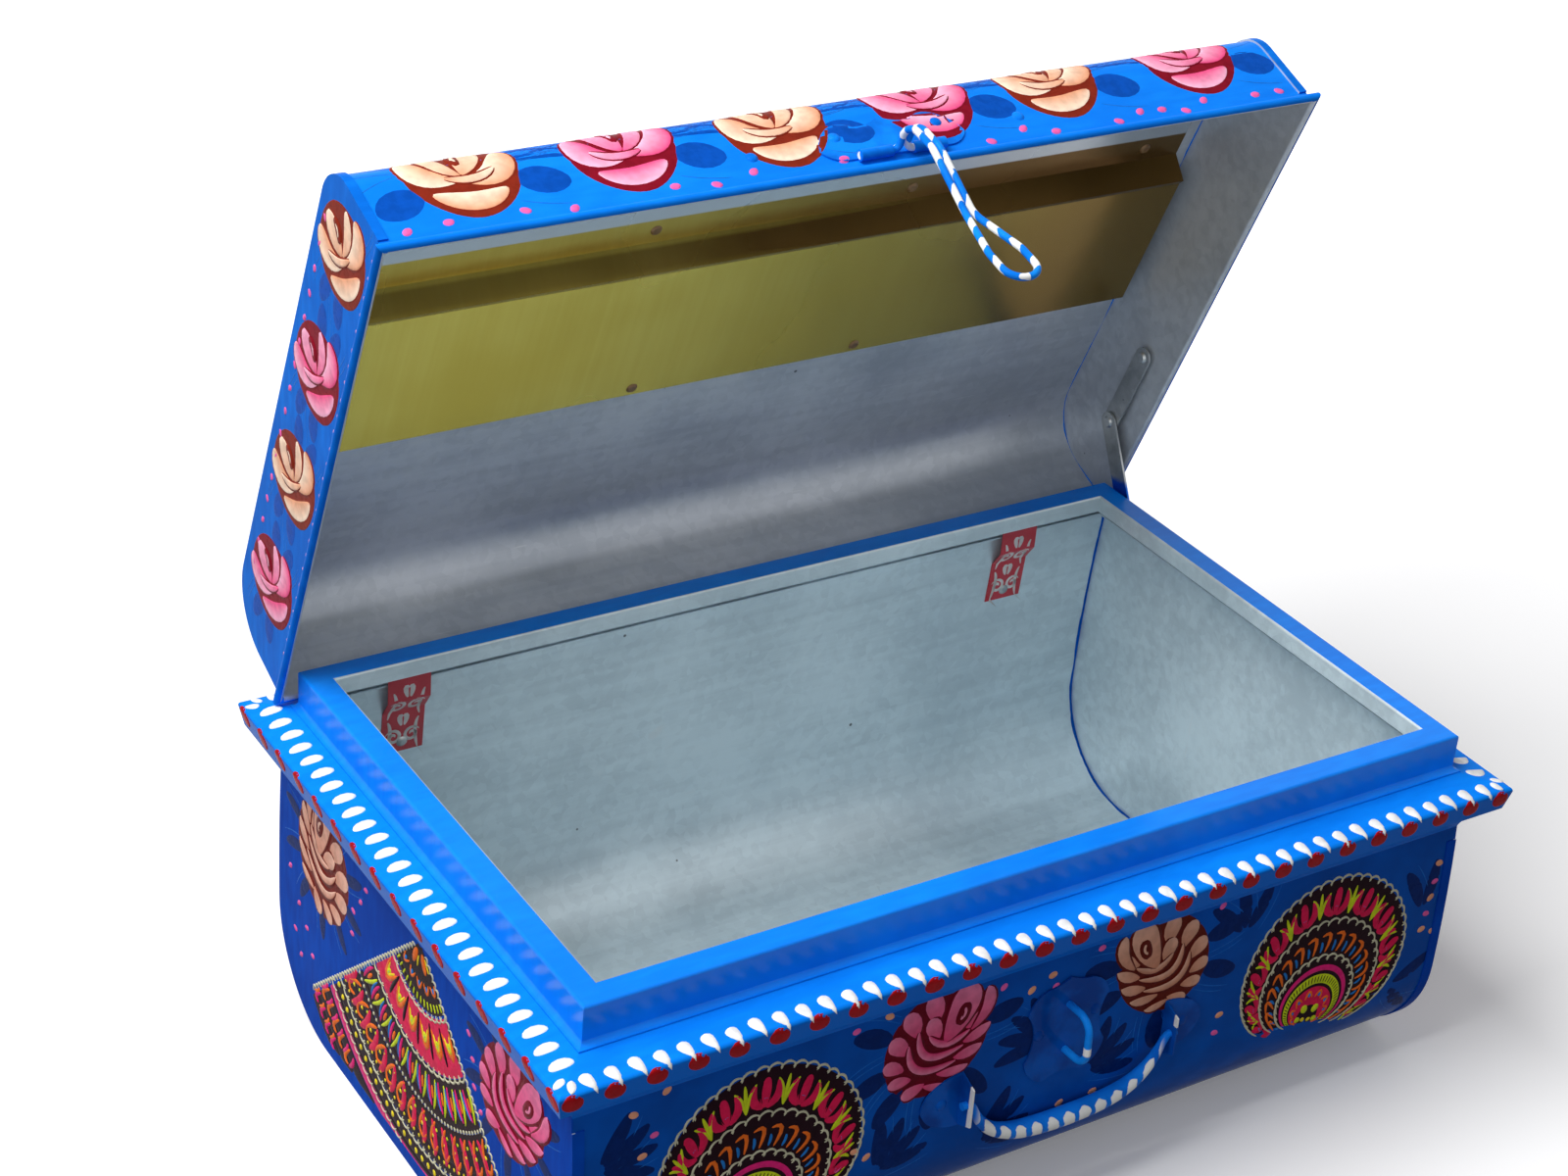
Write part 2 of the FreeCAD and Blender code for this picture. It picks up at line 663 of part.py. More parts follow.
rim_wire.Spine = (wire_loop, ["Edge1", "Edge2", "Edge3", "Edge4", "Edge5"])
rim_wire.Solid = True
rim_wire.Transition = "Right corner"
finish("lid_rim_wire", rim_wire, LID_POSE)


# Hinge straps: thin tin looped round the rim wire, through the collar and down the back wall
LOOP = WIRE + size("hinge_fit")
STRAP_FALL = HALF_DEPTH - size("strap_fall_in")
strap_runs = []
for side in (-1, 1):
    strap = folded(
        "strap_%d" % (side + 1),
        SECTION,
        (HINGE_Y - LOOP, HINGE_Z),
        [
            (HINGE_Y, HINGE_Z - LOOP, LOOP),
            (HINGE_Y + LOOP, HINGE_Z, LOOP),
            (HINGE_Y, HINGE_Z + LOOP, LOOP),
            (STRAP_FALL + BEND, HINGE_Z + LOOP),
            (STRAP_FALL, HINGE_Z + LOOP - BEND, BEND),
            (STRAP_FALL, size("strap_knee")),
            (wall_face(size("strap_touch"), -GAUGE), size("strap_touch")),
            (wall_face(size("strap_end"), -GAUGE), size("strap_end")),
        ],
        size("strap_gauge"),
        size("strap_width"),
    )
    strap_runs.append((side, moved(strap, STRAP_X * side)))


# Rivets: a shank with a domed head at one end and a flatter one at the other
TAIL_SHARE = 0.7
FOOT_POINT = Vector()
AXIS = Vector(0, 0, 1)


def turned_solid(profile_edges, foot, direction):
    """A closed half profile spun about its own axis, then stood on a point along a direction."""
    solid = Part.Face(Part.Wire(profile_edges)).revolve(FOOT_POINT, AXIS, 360)
    solid.Placement = FreeCAD.Placement(foot, FreeCAD.Rotation(AXIS, direction))
    return solid


def rivet(foot, direction, grip, shank, head, rise):
    """A rivet through plates of the given grip: domed head before the foot, flat one behind."""
    crown = Vector(0, 0, -rise)
    brim = Vector(head, 0, 0)
    shoulder = Vector(head * TAIL_SHARE, 0, -rise * TAIL_SHARE)
    tail = grip + rise * TAIL_SHARE
    corners = [
        brim,
        Vector(shank, 0, 0),
        Vector(shank, 0, grip),
        Vector(head, 0, grip),
        Vector(head * TAIL_SHARE, 0, tail),
        Vector(0, 0, tail),
        crown,
    ]
    edges = [Part.Arc(crown, shoulder, brim).toShape()]
    for a, b in zip(corners, corners[1:]):
        edges.append(Part.makeLine(a, b))
    return turned_solid(edges, foot, direction)


def shaped(name, shape, pose=None):
    """A finished piece whose shape comes from Part's own functions."""
    thing = doc.addObject("Part::Feature", name)
    thing.Shape = shape
    return finish(name, thing, pose.multiply(shape.Placement) if pose else None)


def drilled(name, thing, holes):
    """A piece with round holes: each hole is a foot, a direction, a depth and a radius."""
    drills = doc.addObject("Part::Feature", name + "_drills")
    cores = []
    for foot, way, depth, radius in holes:
        cores.append(Part.makeCylinder(radius, depth * 3, foot - way * depth, way))
    drills.Shape = Part.Compound(cores)
    return join(name, "Cut", thing, drills)


# Small rivets, each given by its foot, direction and grip
SHANK = VALUES["small_shank"]
SMALL = (SHANK, VALUES["small_head"], VALUES["small_rise"])
OUT_FRONT = Vector(0, -1, 0)
ALONG = Vector(1, 0, 0)


def wall_pose(height, x, back=False):
    """The outer face of the bulged wall at a height: local Z points out of the wall, Y up it."""
    rise = height - VALUES["belly_radius"] - VALUES["foot_seam"]
    lean = math.degrees(math.asin(rise / SIDE_RADIUS.value))
    face = wall_face(as_size(height)).value
    stand = FreeCAD.Rotation(Vector(1, 0, 0), 90 - lean)
    pose = FreeCAD.Placement(Vector(x, -face, height), stand)
    if back:
        half_turn = FreeCAD.Placement(Vector(), FreeCAD.Rotation(AXIS, 180))
        pose = half_turn.multiply(FreeCAD.Placement(Vector(-x, -face, height), stand))
    return pose


def local_holes(pose, spots, depth, radius):
    """Holes along the local Z of a pose, at local places."""
    way = pose.Rotation.multVec(AXIS)
    return [(pose.multVec(Vector(x, y, 0)), way, depth, radius) for x, y in spots]


def local_rivets(pose, spots, above, below):
    """Small rivets driven along the local Z of a pose, from above the face to below it."""
    way = pose.Rotation.multVec(-AXIS)
    return [rivet(pose.multVec(Vector(x, y, above)), way, above + below, *SMALL) for x, y in spots]


PLATE = VALUES["plate_gauge"]
WALL = VALUES["gauge"]
SLACK = VALUES["sheet_slack"]
staple_mid = (VALUES["staple_high"] + VALUES["staple_low"]) / 2
staple_half = (VALUES["staple_high"] - VALUES["staple_low"]) / 2
staple_pose = wall_pose(staple_mid, VALUES["lock_x"])
staple_spots = [(-VALUES["staple_side"], 0.0), (VALUES["staple_side"], VALUES["staple_rise"])]
staple_legs = [(0.0, staple_half), (0.0, -staple_half)]
handle_pose = wall_pose(VALUES["handle_z"], VALUES["handle_x"])
handle_spots = [(side * (VALUES["handle_half"] + VALUES["handle_rivet"]), 0.0) for side in (-1, 1)]
strap_poses = [wall_pose(VALUES["strap_rivet_z"], side * STRAP_X.value, back=True) for side in (-1, 1)]

wall_holes = local_holes(staple_pose, staple_spots, PLATE * 2, SHANK)
wall_holes += local_holes(staple_pose, staple_legs, PLATE * 2, VALUES["staple_wire"])
wall_holes += local_holes(handle_pose, handle_spots, PLATE * 2, SHANK)
for pose in strap_poses:
    wall_holes += local_holes(pose, [(0.0, 0.0)], PLATE * 2, SHANK)
finish("body_wrap", drilled("body_wrap", wrap_sheet, wall_holes))


def scaled(shares, across, up, bend, start_x=ZERO):
    """An outline from shares: of a width and a height, and where a step is an arc, of a radius."""
    steps = []
    for share in shares:
        step = (start_x + across * share[0], up * share[1])
        if len(share) > 2:
            step = step + (bend * share[2],)
        steps.append(step)
    return steps


# Staple: a bent wire clinched through a scalloped plate and the front wall
STAPLE_PLATE_SHARES = [
    (0.0, 1.0),
    (0.55, 0.86, 1.2),
    (1.0, 0.45, -0.62),
    (0.82, 0.0, 1.0),
    (1.0, -0.5, 1.0),
    (0.5, -1.0, -0.72),
    (0.0, -0.9, 1.0),
]


def mirrored_outline(half):
    """A closed outline from its right half, given from the top middle to the bottom middle."""
    left = []
    for number in range(len(half) - 1, 0, -1):
        point = half[number - 1]
        step = (-point[0], point[1])
        if len(half[number]) > 2:
            step = step + (half[number][2],)
        left.append(step)
    return half[0], half[1:] + left


flat_staple_holes = [(Vector(x, y, 0), AXIS, PLATE, SHANK) for x, y in staple_spots]
flat_staple_holes += [(Vector(x, y, 0), AXIS, PLATE, VALUES["staple_wire"]) for x, y in staple_legs]
reach = size("staple_plate_half")
start, path = mirrored_outline(scaled(STAPLE_PLATE_SHARES, reach, size("staple_plate_rise"), reach))
staple_sheet = slab("staple_sheet", PLAN, start, path, size("plate_gauge"), symmetric=False)
finish("staple_plate", drilled("staple_plate", staple_sheet, flat_staple_holes), staple_pose)


def bent_wire(points, radius):
    """A round wire along points, each corner given its own bend radius."""
    edges = []
    here = points[0][0]
    for (corner, bend), (after, _) in zip(points[1:-1], points[2:]):
        way_in = (corner - here).normalize()
        way_out = (after - corner).normalize()
        half_angle = way_in.getAngle(way_out) / 2
        reach = bend * math.tan(half_angle)
        a = corner - way_in * reach
        b = corner + way_out * reach
        bisector = (way_out - way_in).normalize()
        centre = corner + bisector * (bend / math.cos(half_angle))
        crown = centre - bisector * bend
        edges.append(Part.makeLine(here, a))
        edges.append(Part.Arc(a, crown, b).toShape())
        here = b
    edges.append(Part.makeLine(here, points[-1][0]))
    spine = Part.Wire(edges)
    return piped(spine, radius)


def piped(spine, radius):
    """A round wire swept along a smooth spine."""
    first = spine.OrderedEdges[0]
    start = first.valueAt(first.FirstParameter)
    way = first.tangentAt(first.FirstParameter)
    section = Part.Wire([Part.makeCircle(radius, start, way)])
    return spine.makePipeShell([section], True, False)


TOP_OF_STAPLE = PLATE + VALUES["staple_reach"]
CLINCH = WALL + VALUES["staple_wire"] * 2
staple_path = [
    (Vector(0, staple_half, -CLINCH), 0),
    (Vector(0, staple_half, TOP_OF_STAPLE), VALUES["staple_bend"]),
    (Vector(0, -staple_half, TOP_OF_STAPLE), VALUES["staple_bend"]),
    (Vector(0, -staple_half, -CLINCH), 0),
]
shaped("staple_wire", bent_wire(staple_path, VALUES["staple_wire"]), staple_pose)
shaped("staple_rivets", Part.Compound(local_rivets(staple_pose, staple_spots, PLATE, WALL + SLACK)))


# Handle: a spindle-shaped bail whose ends turn in the flaps of two plates
pivot_out = VALUES["handle_out"] + HALF_DEPTH.value
pivot_point = handle_pose.inverse().multVec(Vector(VALUES["handle_x"], -pivot_out, VALUES["handle_z"]))
FLAP = size("flap_height")
HANDLE_PLATE_SHARES = [
    (0.0, 0.5),
    (0.5, 0.42, -1.0),
    (1.0, 0.0, -0.55),
    (0.5, -0.42, -0.55),
    (0.0, -0.5, -1.0),
    (0.0, 0.5),
]
for side, name in ((-1, "handle_plate_left"), (1, "handle_plate_right")):
    flap_x = size("handle_half") * side
    path = scaled(HANDLE_PLATE_SHARES, size("handle_plate_reach") * side, FLAP, FLAP * side, flap_x)
    plate = slab(name + "_sheet", PLAN, path[0], path[1:], size("plate_gauge"), symmetric=False)
    fold_x = VALUES["handle_half"] * side
    flap_top = pivot_point.z + VALUES["flap_rim"]
    flap_half = VALUES["flap_height"] / 2
    flap_line = [
        Vector(fold_x, -flap_half, 0),
        Vector(fold_x, flap_half, 0),
        Vector(fold_x, flap_half * TAIL_SHARE, flap_top),
        Vector(fold_x, -flap_half * TAIL_SHARE, flap_top),
        Vector(fold_x, -flap_half, 0),
    ]
    flap = doc.addObject("Part::Feature", name + "_flap")
    flap.Shape = Part.Face(Part.makePolygon(flap_line)).extrude(Vector(-PLATE * side, 0, 0))
    whole = join_all(name + "_folded", [plate, flap])
    pin_radius = VALUES["bail_end"] + VALUES["hinge_fit"]
    pin_hole = (Vector(fold_x, pivot_point.y, pivot_point.z), ALONG, PLATE * 2, pin_radius)
    rivet_x = side * (VALUES["handle_half"] + VALUES["handle_rivet"])
    rivet_hole = (Vector(rivet_x, 0, 0), AXIS, PLATE, SHANK)
    finish(name, drilled(name, whole, [pin_hole, rivet_hole]), handle_pose)
shaped("handle_rivets", Part.Compound(local_rivets(handle_pose, handle_spots, PLATE, WALL + SLACK)))


# The bail's middle line from a pivot to its middle: shares of the half length, of the drop and of
# the growth from the thin end to the fat middle
BAIL_SHARES = [
    (0.979, 0.0, 0.0),
    (0.950, 0.05, 0.02),
    (0.917, 0.17, 0.08),
    (0.854, 0.41, 0.25),
    (0.767, 0.62, 0.45),
    (0.660, 0.775, 0.62),
    (0.515, 0.894, 0.8),
    (0.350, 0.96, 0.92),
    (0.175, 0.99, 0.98),
    (0.0, 1.0, 1.0),
]


def bail_shape():
    """Loft of circles along the hanging bail, thin at the pivots and fat in the middle."""
    half = VALUES["handle_half"]
    thin = VALUES["bail_end"]
    growth = VALUES["bail_middle"] - thin
    rings = []
    for side, shares in ((-1, BAIL_SHARES), (1, BAIL_SHARES[-2::-1])):
        for along, fall, fat in shares:
            centre = Vector(side * along * half, 0, -fall * VALUES["handle_drop"])
            rings.append((centre, thin + fat * growth))
    sections = []
    for number, (centre, radius) in enumerate(rings):
        if number in (0, len(rings) - 1):
            way = ALONG
        else:
            way = rings[number + 1][0] - rings[number - 1][0]
        sections.append(Part.Wire([Part.makeCircle(radius, centre, way)]))
    bar = Part.makeLoft(sections, True)
    pins = []
    for side in (-1, 1):
        pin_end = Vector(side * (half + VALUES["bail_pin"]), 0, 0)
        reach = half + VALUES["bail_pin"] - BAIL_SHARES[0][0] * half
        pins.append(Part.makeCylinder(thin, reach, pin_end, ALONG * -side))
    return bar.multiFuse(pins).removeSplitter()


BAIL_POSE = FreeCAD.Placement(Vector(VALUES["handle_x"], -pivot_out, VALUES["handle_z"]), FreeCAD.Rotation())
shaped("handle_bail", bail_shape(), BAIL_POSE)

# Straps' rivets
STRAP_REACH = WALL + VALUES["strap_gauge"] + SLACK
strap_rivets = []
for pose in strap_poses:
    foot = pose.multVec(Vector(0, 0, -STRAP_REACH))
    strap_rivets.append(rivet(foot, pose.Rotation.multVec(AXIS), STRAP_REACH, *SMALL))
shaped("strap_rivets", Part.Compound(strap_rivets))
for side, strap in strap_runs:
    pose = strap_poses[0] if side < 0 else strap_poses[1]
    name = "hinge_strap_left" if side < 0 else "hinge_strap_right"
    finish(name, drilled(name, strap, local_holes(pose, [(0.0, 0.0)], PLATE * 2, SHANK)))

# Lid fittings: hasp plate with its barrel, front rivets, and the pocket inside
LID_FACE = -LID_FRONT.value
POCKET_HALF = LID_END - size("pocket_end_gap")
LOCK = VALUES["lock_x"]
RIM_Z = HINGE_Z.value
hasp_spots = [(LOCK + side * VALUES["hasp_rivet_side"], VALUES["hasp_rivet_rise"]) for side in (-1, 1)]
stud_spots = [(LOCK + side * VALUES["stud_side"], VALUES["stud_rise"]) for side in (-1, 1)]


def lid_ceiling(y):
    """Outer face of the sloping lid top at a place, lid shut."""
    back = LID_BACK.value - VALUES["lid_back_radius"]
    front = -LID_FRONT.value + VALUES["lid_front_radius"]
    share = (back - y) / (back - front)
    rise = VALUES["lid_back_rise"] + (VALUES["lid_front_rise"] - VALUES["lid_back_rise"]) * share
    return RIM_Z + rise


def ceiling_size(u):
    """The same ceiling, inside face, as a Size at a distance from the hinge."""
    back = LID_BACK - size("lid_back_radius")
    front = size("lid_front_radius") - LID_FRONT
    share = (back - (HINGE_Y - u)) / (back - front)
    return HINGE_Z + size("lid_back_rise") - (size("lid_back_rise") - size("lid_front_rise")) * share - GAUGE


DOWN = Vector(0, lid_ceiling(1) - lid_ceiling(0), -1).normalize()
pocket_y = VALUES["pocket_rivet_in"] - LID_FRONT.value
brace_y = VALUES["pocket_back"] - LID_FRONT.value - VALUES["pocket_brace_in"]
POCKET_RIVET_SHARES = (-0.9, -0.3, 0.3, 0.9)
BRACE_RIVET_SHARES = (-0.27, 0.27)
pocket_xs = [share * POCKET_HALF.value for share in POCKET_RIVET_SHARES]
brace_xs = [share * POCKET_HALF.value for share in BRACE_RIVET_SHARES]
pocket_feet = [Vector(x, pocket_y, lid_ceiling(pocket_y)) for x in pocket_xs]
brace_feet = [Vector(x, brace_y, lid_ceiling(brace_y)) for x in brace_xs]
STRIP_GRIP = WALL + VALUES["pocket_gauge"] + SLACK
BRACE_GRIP = WALL + VALUES["pocket_depth"] + VALUES["pocket_gauge"] + SLACK
lid_holes = [(foot, DOWN, STRIP_GRIP, SHANK) for foot in pocket_feet + brace_feet]
for x, rise in hasp_spots + stud_spots:
    lid_holes.append((Vector(x, LID_FACE, RIM_Z + rise), OUT_FRONT, PLATE * 2, SHANK))
finish("lid_wrap", drilled("lid_wrap", lid_notched, lid_holes), LID_POSE)

HASP_PLATE_SHARES = [
    (0.0, 1.0),
    (0.4, 0.82, 0.5),
    (0.8, 0.8, -0.3),
    (1.0, 0.3, -0.5),
    (0.7, 0.0, -0.32),
    (0.0, 0.0),
]
hasp_x = size("lock_x")
barrel_z = HINGE_Z + size("barrel_rise")
half_plate = size("hasp_plate_half")
tall = size("hasp_plate_rise")
start, path = mirrored_outline(scaled(HASP_PLATE_SHARES, half_plate, tall, half_plate))
hasp_sheet = slab("hasp_sheet", FRONT, start, path, size("hasp_gauge"), symmetric=False)
moved(hasp_sheet, hasp_x, -LID_FRONT, barrel_z)
bore = size("hasp_wire") + size("barrel_fit")
barrel_y = -(LID_FRONT + size("hasp_gauge") + bore)
barrels = []
for side in (-1, 1):
    barrel = folded(
        "hasp_barrel_%d" % (side + 1),
        SECTION,
        (barrel_y, barrel_z + bore),
        [
            (barrel_y - bore, barrel_z, bore),
            (barrel_y, barrel_z - bore, bore),
            (barrel_y + bore, barrel_z, bore),
            (barrel_y + bore, barrel_z + bore * 2),
        ],
        size("hasp_gauge"),
        size("barrel_length"),
    )
    barrels.append(moved(barrel, hasp_x + (size("barrel_gap") + size("barrel_length")) / 2 * side))
hasp_joined = join_all("hasp_joined", [hasp_sheet] + barrels)
hasp_holes = []
for x, rise in hasp_spots:
    hasp_holes.append((Vector(x, LID_FACE, RIM_Z + rise), OUT_FRONT, PLATE * 2, SHANK))
finish("hasp_plate", drilled("hasp_plate", hasp_joined, hasp_holes), LID_POSE)

front_rivets = []
for spots, above in ((hasp_spots, VALUES["hasp_gauge"]), (stud_spots, 0.0)):
    for x, rise in spots:
        foot = Vector(x, LID_FACE - above, RIM_Z + rise)
        front_rivets.append(rivet(foot, -OUT_FRONT, above + WALL, *SMALL))
shaped("lid_front_rivets", Part.Compound(front_rivets), LID_POSE)

pocket = folded(
    "lid_pocket_sheet",
    SECTION,
    (size("pocket_front") - LID_FRONT, ceiling_size(LID_SPAN - size("pocket_front"))),
    [
        (size("pocket_step") - LID_FRONT, ceiling_size(LID_SPAN - size("pocket_step"))),
        (
            size("pocket_crest") - LID_FRONT,
            ceiling_size(LID_SPAN - size("pocket_crest")) - size("pocket_depth") - size("pocket_bead"),
        ),
        (
            size("pocket_crest") - LID_FRONT + size("pocket_bead") * 2,
            ceiling_size(LID_SPAN - size("pocket_crest")) - size("pocket_depth"),
        ),
        (
            size("pocket_back") - LID_FRONT,
            ceiling_size(LID_SPAN - size("pocket_back")) - size("pocket_depth"),
        ),
        (
            size("pocket_back") - LID_FRONT + size("pocket_bead"),
            ceiling_size(LID_SPAN - size("pocket_back")) - size("pocket_depth") + size("pocket_bead") * 2,
        ),
    ],
    size("pocket_gauge"),
    POCKET_HALF * 2,
)
pocket_holes = [(foot, DOWN, BRACE_GRIP, SHANK) for foot in pocket_feet + brace_feet]
finish("lid_pocket", drilled("lid_pocket", pocket, pocket_holes), LID_POSE)
pocket_rivets = [rivet(foot, DOWN, STRIP_GRIP, *SMALL) for foot in pocket_feet]
pocket_rivets += [rivet(foot, DOWN, BRACE_GRIP, *SMALL) for foot in brace_feet]
shaped("pocket_rivets", Part.Compound(pocket_rivets), LID_POSE)


# Hasp: one wire bent to a long eye, its ends turned outward as pins in the barrel
def hasp_corner(spread, out, down):
    """A corner of the hasp's middle line, lid shut: off its own middle, out of the collar, below its top."""
    return Vector(spread, -(HALF_DEPTH.value + out), HEIGHT.value - down)


PAIR = VALUES["hasp_wire"] + VALUES["hasp_pair"]
PIN = HALF_DEPTH.value + barrel_y.value
PIN_DROP = HEIGHT.value - barrel_z.value
EYE = VALUES["hasp_eye"]
hasp_side = [
    (hasp_corner(VALUES["barrel_gap"] / 2 + VALUES["barrel_length"], -PIN, PIN_DROP), 0),
    (hasp_corner(PAIR, -PIN, PIN_DROP), VALUES["hasp_turn"]),
    (hasp_corner(PAIR, VALUES["hasp_out"], PIN_DROP), VALUES["hasp_shoulder"]),
    (hasp_corner(PAIR, VALUES["hasp_out"], VALUES["hasp_knee"]), VALUES["hasp_sweep"]),
    (hasp_corner(PAIR, VALUES["hasp_neck_out"], VALUES["hasp_neck"]), VALUES["hasp_sweep"]),
    (hasp_corner(EYE, VALUES["hasp_tip_out"], VALUES["hasp_wide"]), VALUES["hasp_sweep"]),
    (hasp_corner(EYE, VALUES["hasp_tip_out"], VALUES["hasp_tip"]), EYE - VALUES["hasp_pair"]),
]
hasp_line = hasp_side + [(Vector(-point.x, point.y, point.z), bend) for point, bend in reversed(hasp_side)]
hasp_wire = bent_wire(hasp_line, VALUES["hasp_wire"])
swung = FreeCAD.Placement(
    Vector(LOCK, 0, 0),
    FreeCAD.Rotation(Vector(-1, 0, 0), VALUES["hasp_swing"]),
    Vector(0, barrel_y.value, barrel_z.value),
)
shaped("hasp_loop", hasp_wire, LID_POSE.multiply(swung))


# Stay: two flat links at the right end; the elbow is where the two pivots' circles meet
collar_face = HALF_LENGTH.value
link_x = collar_face + VALUES["stay_gap"]
upper_x = link_x + VALUES["stay_gauge"] + VALUES["stay_play"]
lower_pivot = Vector(0, HALF_DEPTH.value - VALUES["stay_pivot_in"], HEIGHT.value - VALUES["stay_pivot_drop"])
shut_pivot = Vector(0, HINGE_Y.value - VALUES["stay_lid_u"], RIM_Z + VALUES["stay_lid_v"])
lid_pivot = LID_POSE.multVec(shut_pivot)


def elbow_point():
    """The back one of the two points at both links' lengths from their pivots."""
    across = lid_pivot - lower_pivot
    span = across.Length
    along = (VALUES["stay_lower"] ** 2 - VALUES["stay_upper"] ** 2 + span ** 2) / (span * 2)
    reach = math.sqrt(VALUES["stay_lower"] ** 2 - along ** 2)
    way = across * (1 / span)
    return lower_pivot + way * along + Vector(0, way.z, -way.y) * reach


elbow = elbow_point()


# An arc through both corners of a bar's end needs a hair more than half the bar's width
LINK_END_SHARE = 0.5001


def link(name, span, start, goal, x, end_hole):
    """A flat bar with round ends and a hole at each pivot, laid from start towards goal."""
    half = size("stay_width") / 2
    bend = size("stay_width") * LINK_END_SHARE
    path = [(ZERO, -half, bend), (span, -half), (span, half, bend), (ZERO, half)]
    bar = slab(name + "_bar", PLAN, path[-1], path, size("stay_gauge"), symmetric=False)
    holes = [(Vector(), AXIS, WALL * 3, VALUES["pivot_radius"] + VALUES["hinge_fit"])]
    if end_hole:
        holes.append((Vector(span.value, 0, 0), AXIS, WALL * 3, VALUES["pivot_radius"]))
    way = goal - start
    angle = math.degrees(math.atan2(way.z, way.y))
    turn = SECTION.multiply(FreeCAD.Rotation(AXIS, angle))
    pose = FreeCAD.Placement(Vector(x, start.y, start.z), turn)
    return finish(name, drilled(name, bar, holes), pose)


link("stay_lower_link", size("stay_lower"), lower_pivot, elbow, link_x, True)
link("stay_upper_link", size("stay_upper"), lid_pivot, elbow, upper_x, False)


def shoulder_rivet(x, pivot, way, wall, spacer, grip):
    """A pivot rivet: head outside its wall, a spacer inside, the link's bearing, then a head."""
    shank = VALUES["pivot_radius"]
    head = VALUES["head_radius"]
    rise = VALUES["head_height"]
    collar = head * TAIL_SHARE
    run = wall + spacer + grip
    corners = [
        Vector(0, 0, -rise),
        Vector(head * TAIL_SHARE, 0, -rise),
        Vector(head, 0, 0),
        Vector(shank, 0, 0),
        Vector(shank, 0, wall),
        Vector(collar, 0, wall),
        Vector(collar, 0, wall + spacer),
        Vector(shank, 0, wall + spacer),
        Vector(shank, 0, run),
        Vector(head, 0, run),
        Vector(head * TAIL_SHARE, 0, run + rise),
        Vector(0, 0, run + rise),
        Vector(0, 0, -rise),
    ]
    edges = [Part.makeLine(a, b) for a, b in zip(corners, corners[1:])]
    return turned_solid(edges, Vector(x, pivot.y, pivot.z), way)


PLAY = VALUES["axial_play"]
SPACER = VALUES["stay_gap"] - PLAY
lid_face = LID_END.value
LID_SPACER = lid_face - WALL - upper_x - VALUES["stay_gauge"] - PLAY
LINK_GRIP = VALUES["stay_gauge"] + PLAY * 2
lower_rivet = shoulder_rivet(collar_face - WALL, lower_pivot, ALONG, WALL, SPACER, LINK_GRIP)
shaped("stay_lower_rivet", lower_rivet)
upper_rivet = shoulder_rivet(lid_face, shut_pivot, -ALONG, WALL, LID_SPACER, LINK_GRIP)
shaped("stay_upper_rivet", upper_rivet, LID_POSE)


def elbow_rivet():
    """The elbow's rivet, held in the lower link: a head on the side of the collar and a plain end."""
    shank = VALUES["pivot_radius"]
    head = VALUES["head_radius"]
    rise = VALUES["stay_gap"] - PLAY * 2
    foot = Vector(link_x - rise, elbow.y, elbow.z)
    button = Part.makeCone(head * TAIL_SHARE, head, rise, foot, ALONG)
    pin = Part.makeCylinder(shank, rise + VALUES["stay_gauge"], foot, ALONG)
    return button.fuse(pin).removeSplitter()


shaped("stay_elbow_rivet", elbow_rivet())
RIVET_DEPTH = WALL * 2
stay_bore = VALUES["pivot_radius"]
collar_hole = (Vector(collar_face, lower_pivot.y, lower_pivot.z), ALONG, RIVET_DEPTH, stay_bore)
finish("collar_right", drilled("collar_right", collar_strips["right"], [collar_hole]))
lid_hole = (Vector(lid_face, shut_pivot.y, shut_pivot.z), ALONG, RIVET_DEPTH, stay_bore)
finish("lid_end_right", drilled("lid_end_right", lid_ends["right"], [lid_hole]), LID_POSE)

# Write every piece
doc.recompute()
for thing in doc.Objects:
    if "Invalid" in thing.State or "Error" in thing.State:
        raise RuntimeError("%s did not build" % thing.Name)
os.makedirs("parts", exist_ok=True)
for thing in nodes:
    shape = thing.Shape
    if shape.isNull() or not shape.isValid() or not shape.Solids:
        raise RuntimeError("%s has no valid solid" % thing.Label)
    shape.exportStep("parts/%s.step" % thing.Label)
    print("%-20s %2d solid(s) %10.1f mm3" % (thing.Label, len(shape.Solids), shape.Volume))
print(len(nodes), "nodes")
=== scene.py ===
# %% Load the CAD frame
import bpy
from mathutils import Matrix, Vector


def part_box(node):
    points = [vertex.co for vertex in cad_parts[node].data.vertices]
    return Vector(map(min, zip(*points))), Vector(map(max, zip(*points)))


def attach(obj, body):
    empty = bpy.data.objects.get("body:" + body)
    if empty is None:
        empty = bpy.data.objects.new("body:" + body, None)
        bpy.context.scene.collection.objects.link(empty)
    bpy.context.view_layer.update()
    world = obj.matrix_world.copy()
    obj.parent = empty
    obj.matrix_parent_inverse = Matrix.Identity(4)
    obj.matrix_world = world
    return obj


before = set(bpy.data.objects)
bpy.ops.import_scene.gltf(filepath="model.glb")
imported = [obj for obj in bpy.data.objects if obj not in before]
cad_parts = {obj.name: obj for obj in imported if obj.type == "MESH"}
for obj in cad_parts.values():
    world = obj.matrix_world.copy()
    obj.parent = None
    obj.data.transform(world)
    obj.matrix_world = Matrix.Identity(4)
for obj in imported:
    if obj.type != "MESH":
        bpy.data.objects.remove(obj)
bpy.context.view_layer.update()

# %% [markdown]
# # A hand-painted sheet-steel trunk
# The real trunk is folded from thin galvanised sheet, brushed blue outside, left bare inside, and painted
# freehand with roses, fans and rows of dabs. The CAD frame already holds every sheet, wire and rivet in its
# true shape, so this lesson gives each of them its finish and then lays the painter's brush strokes on top.
#
# ## Camera
# The photograph was taken from the front left, above the trunk, with the phone held a little askew. A camera
# could be aimed with a constraint, but three turns say plainly how it stands: heading, dip and roll.

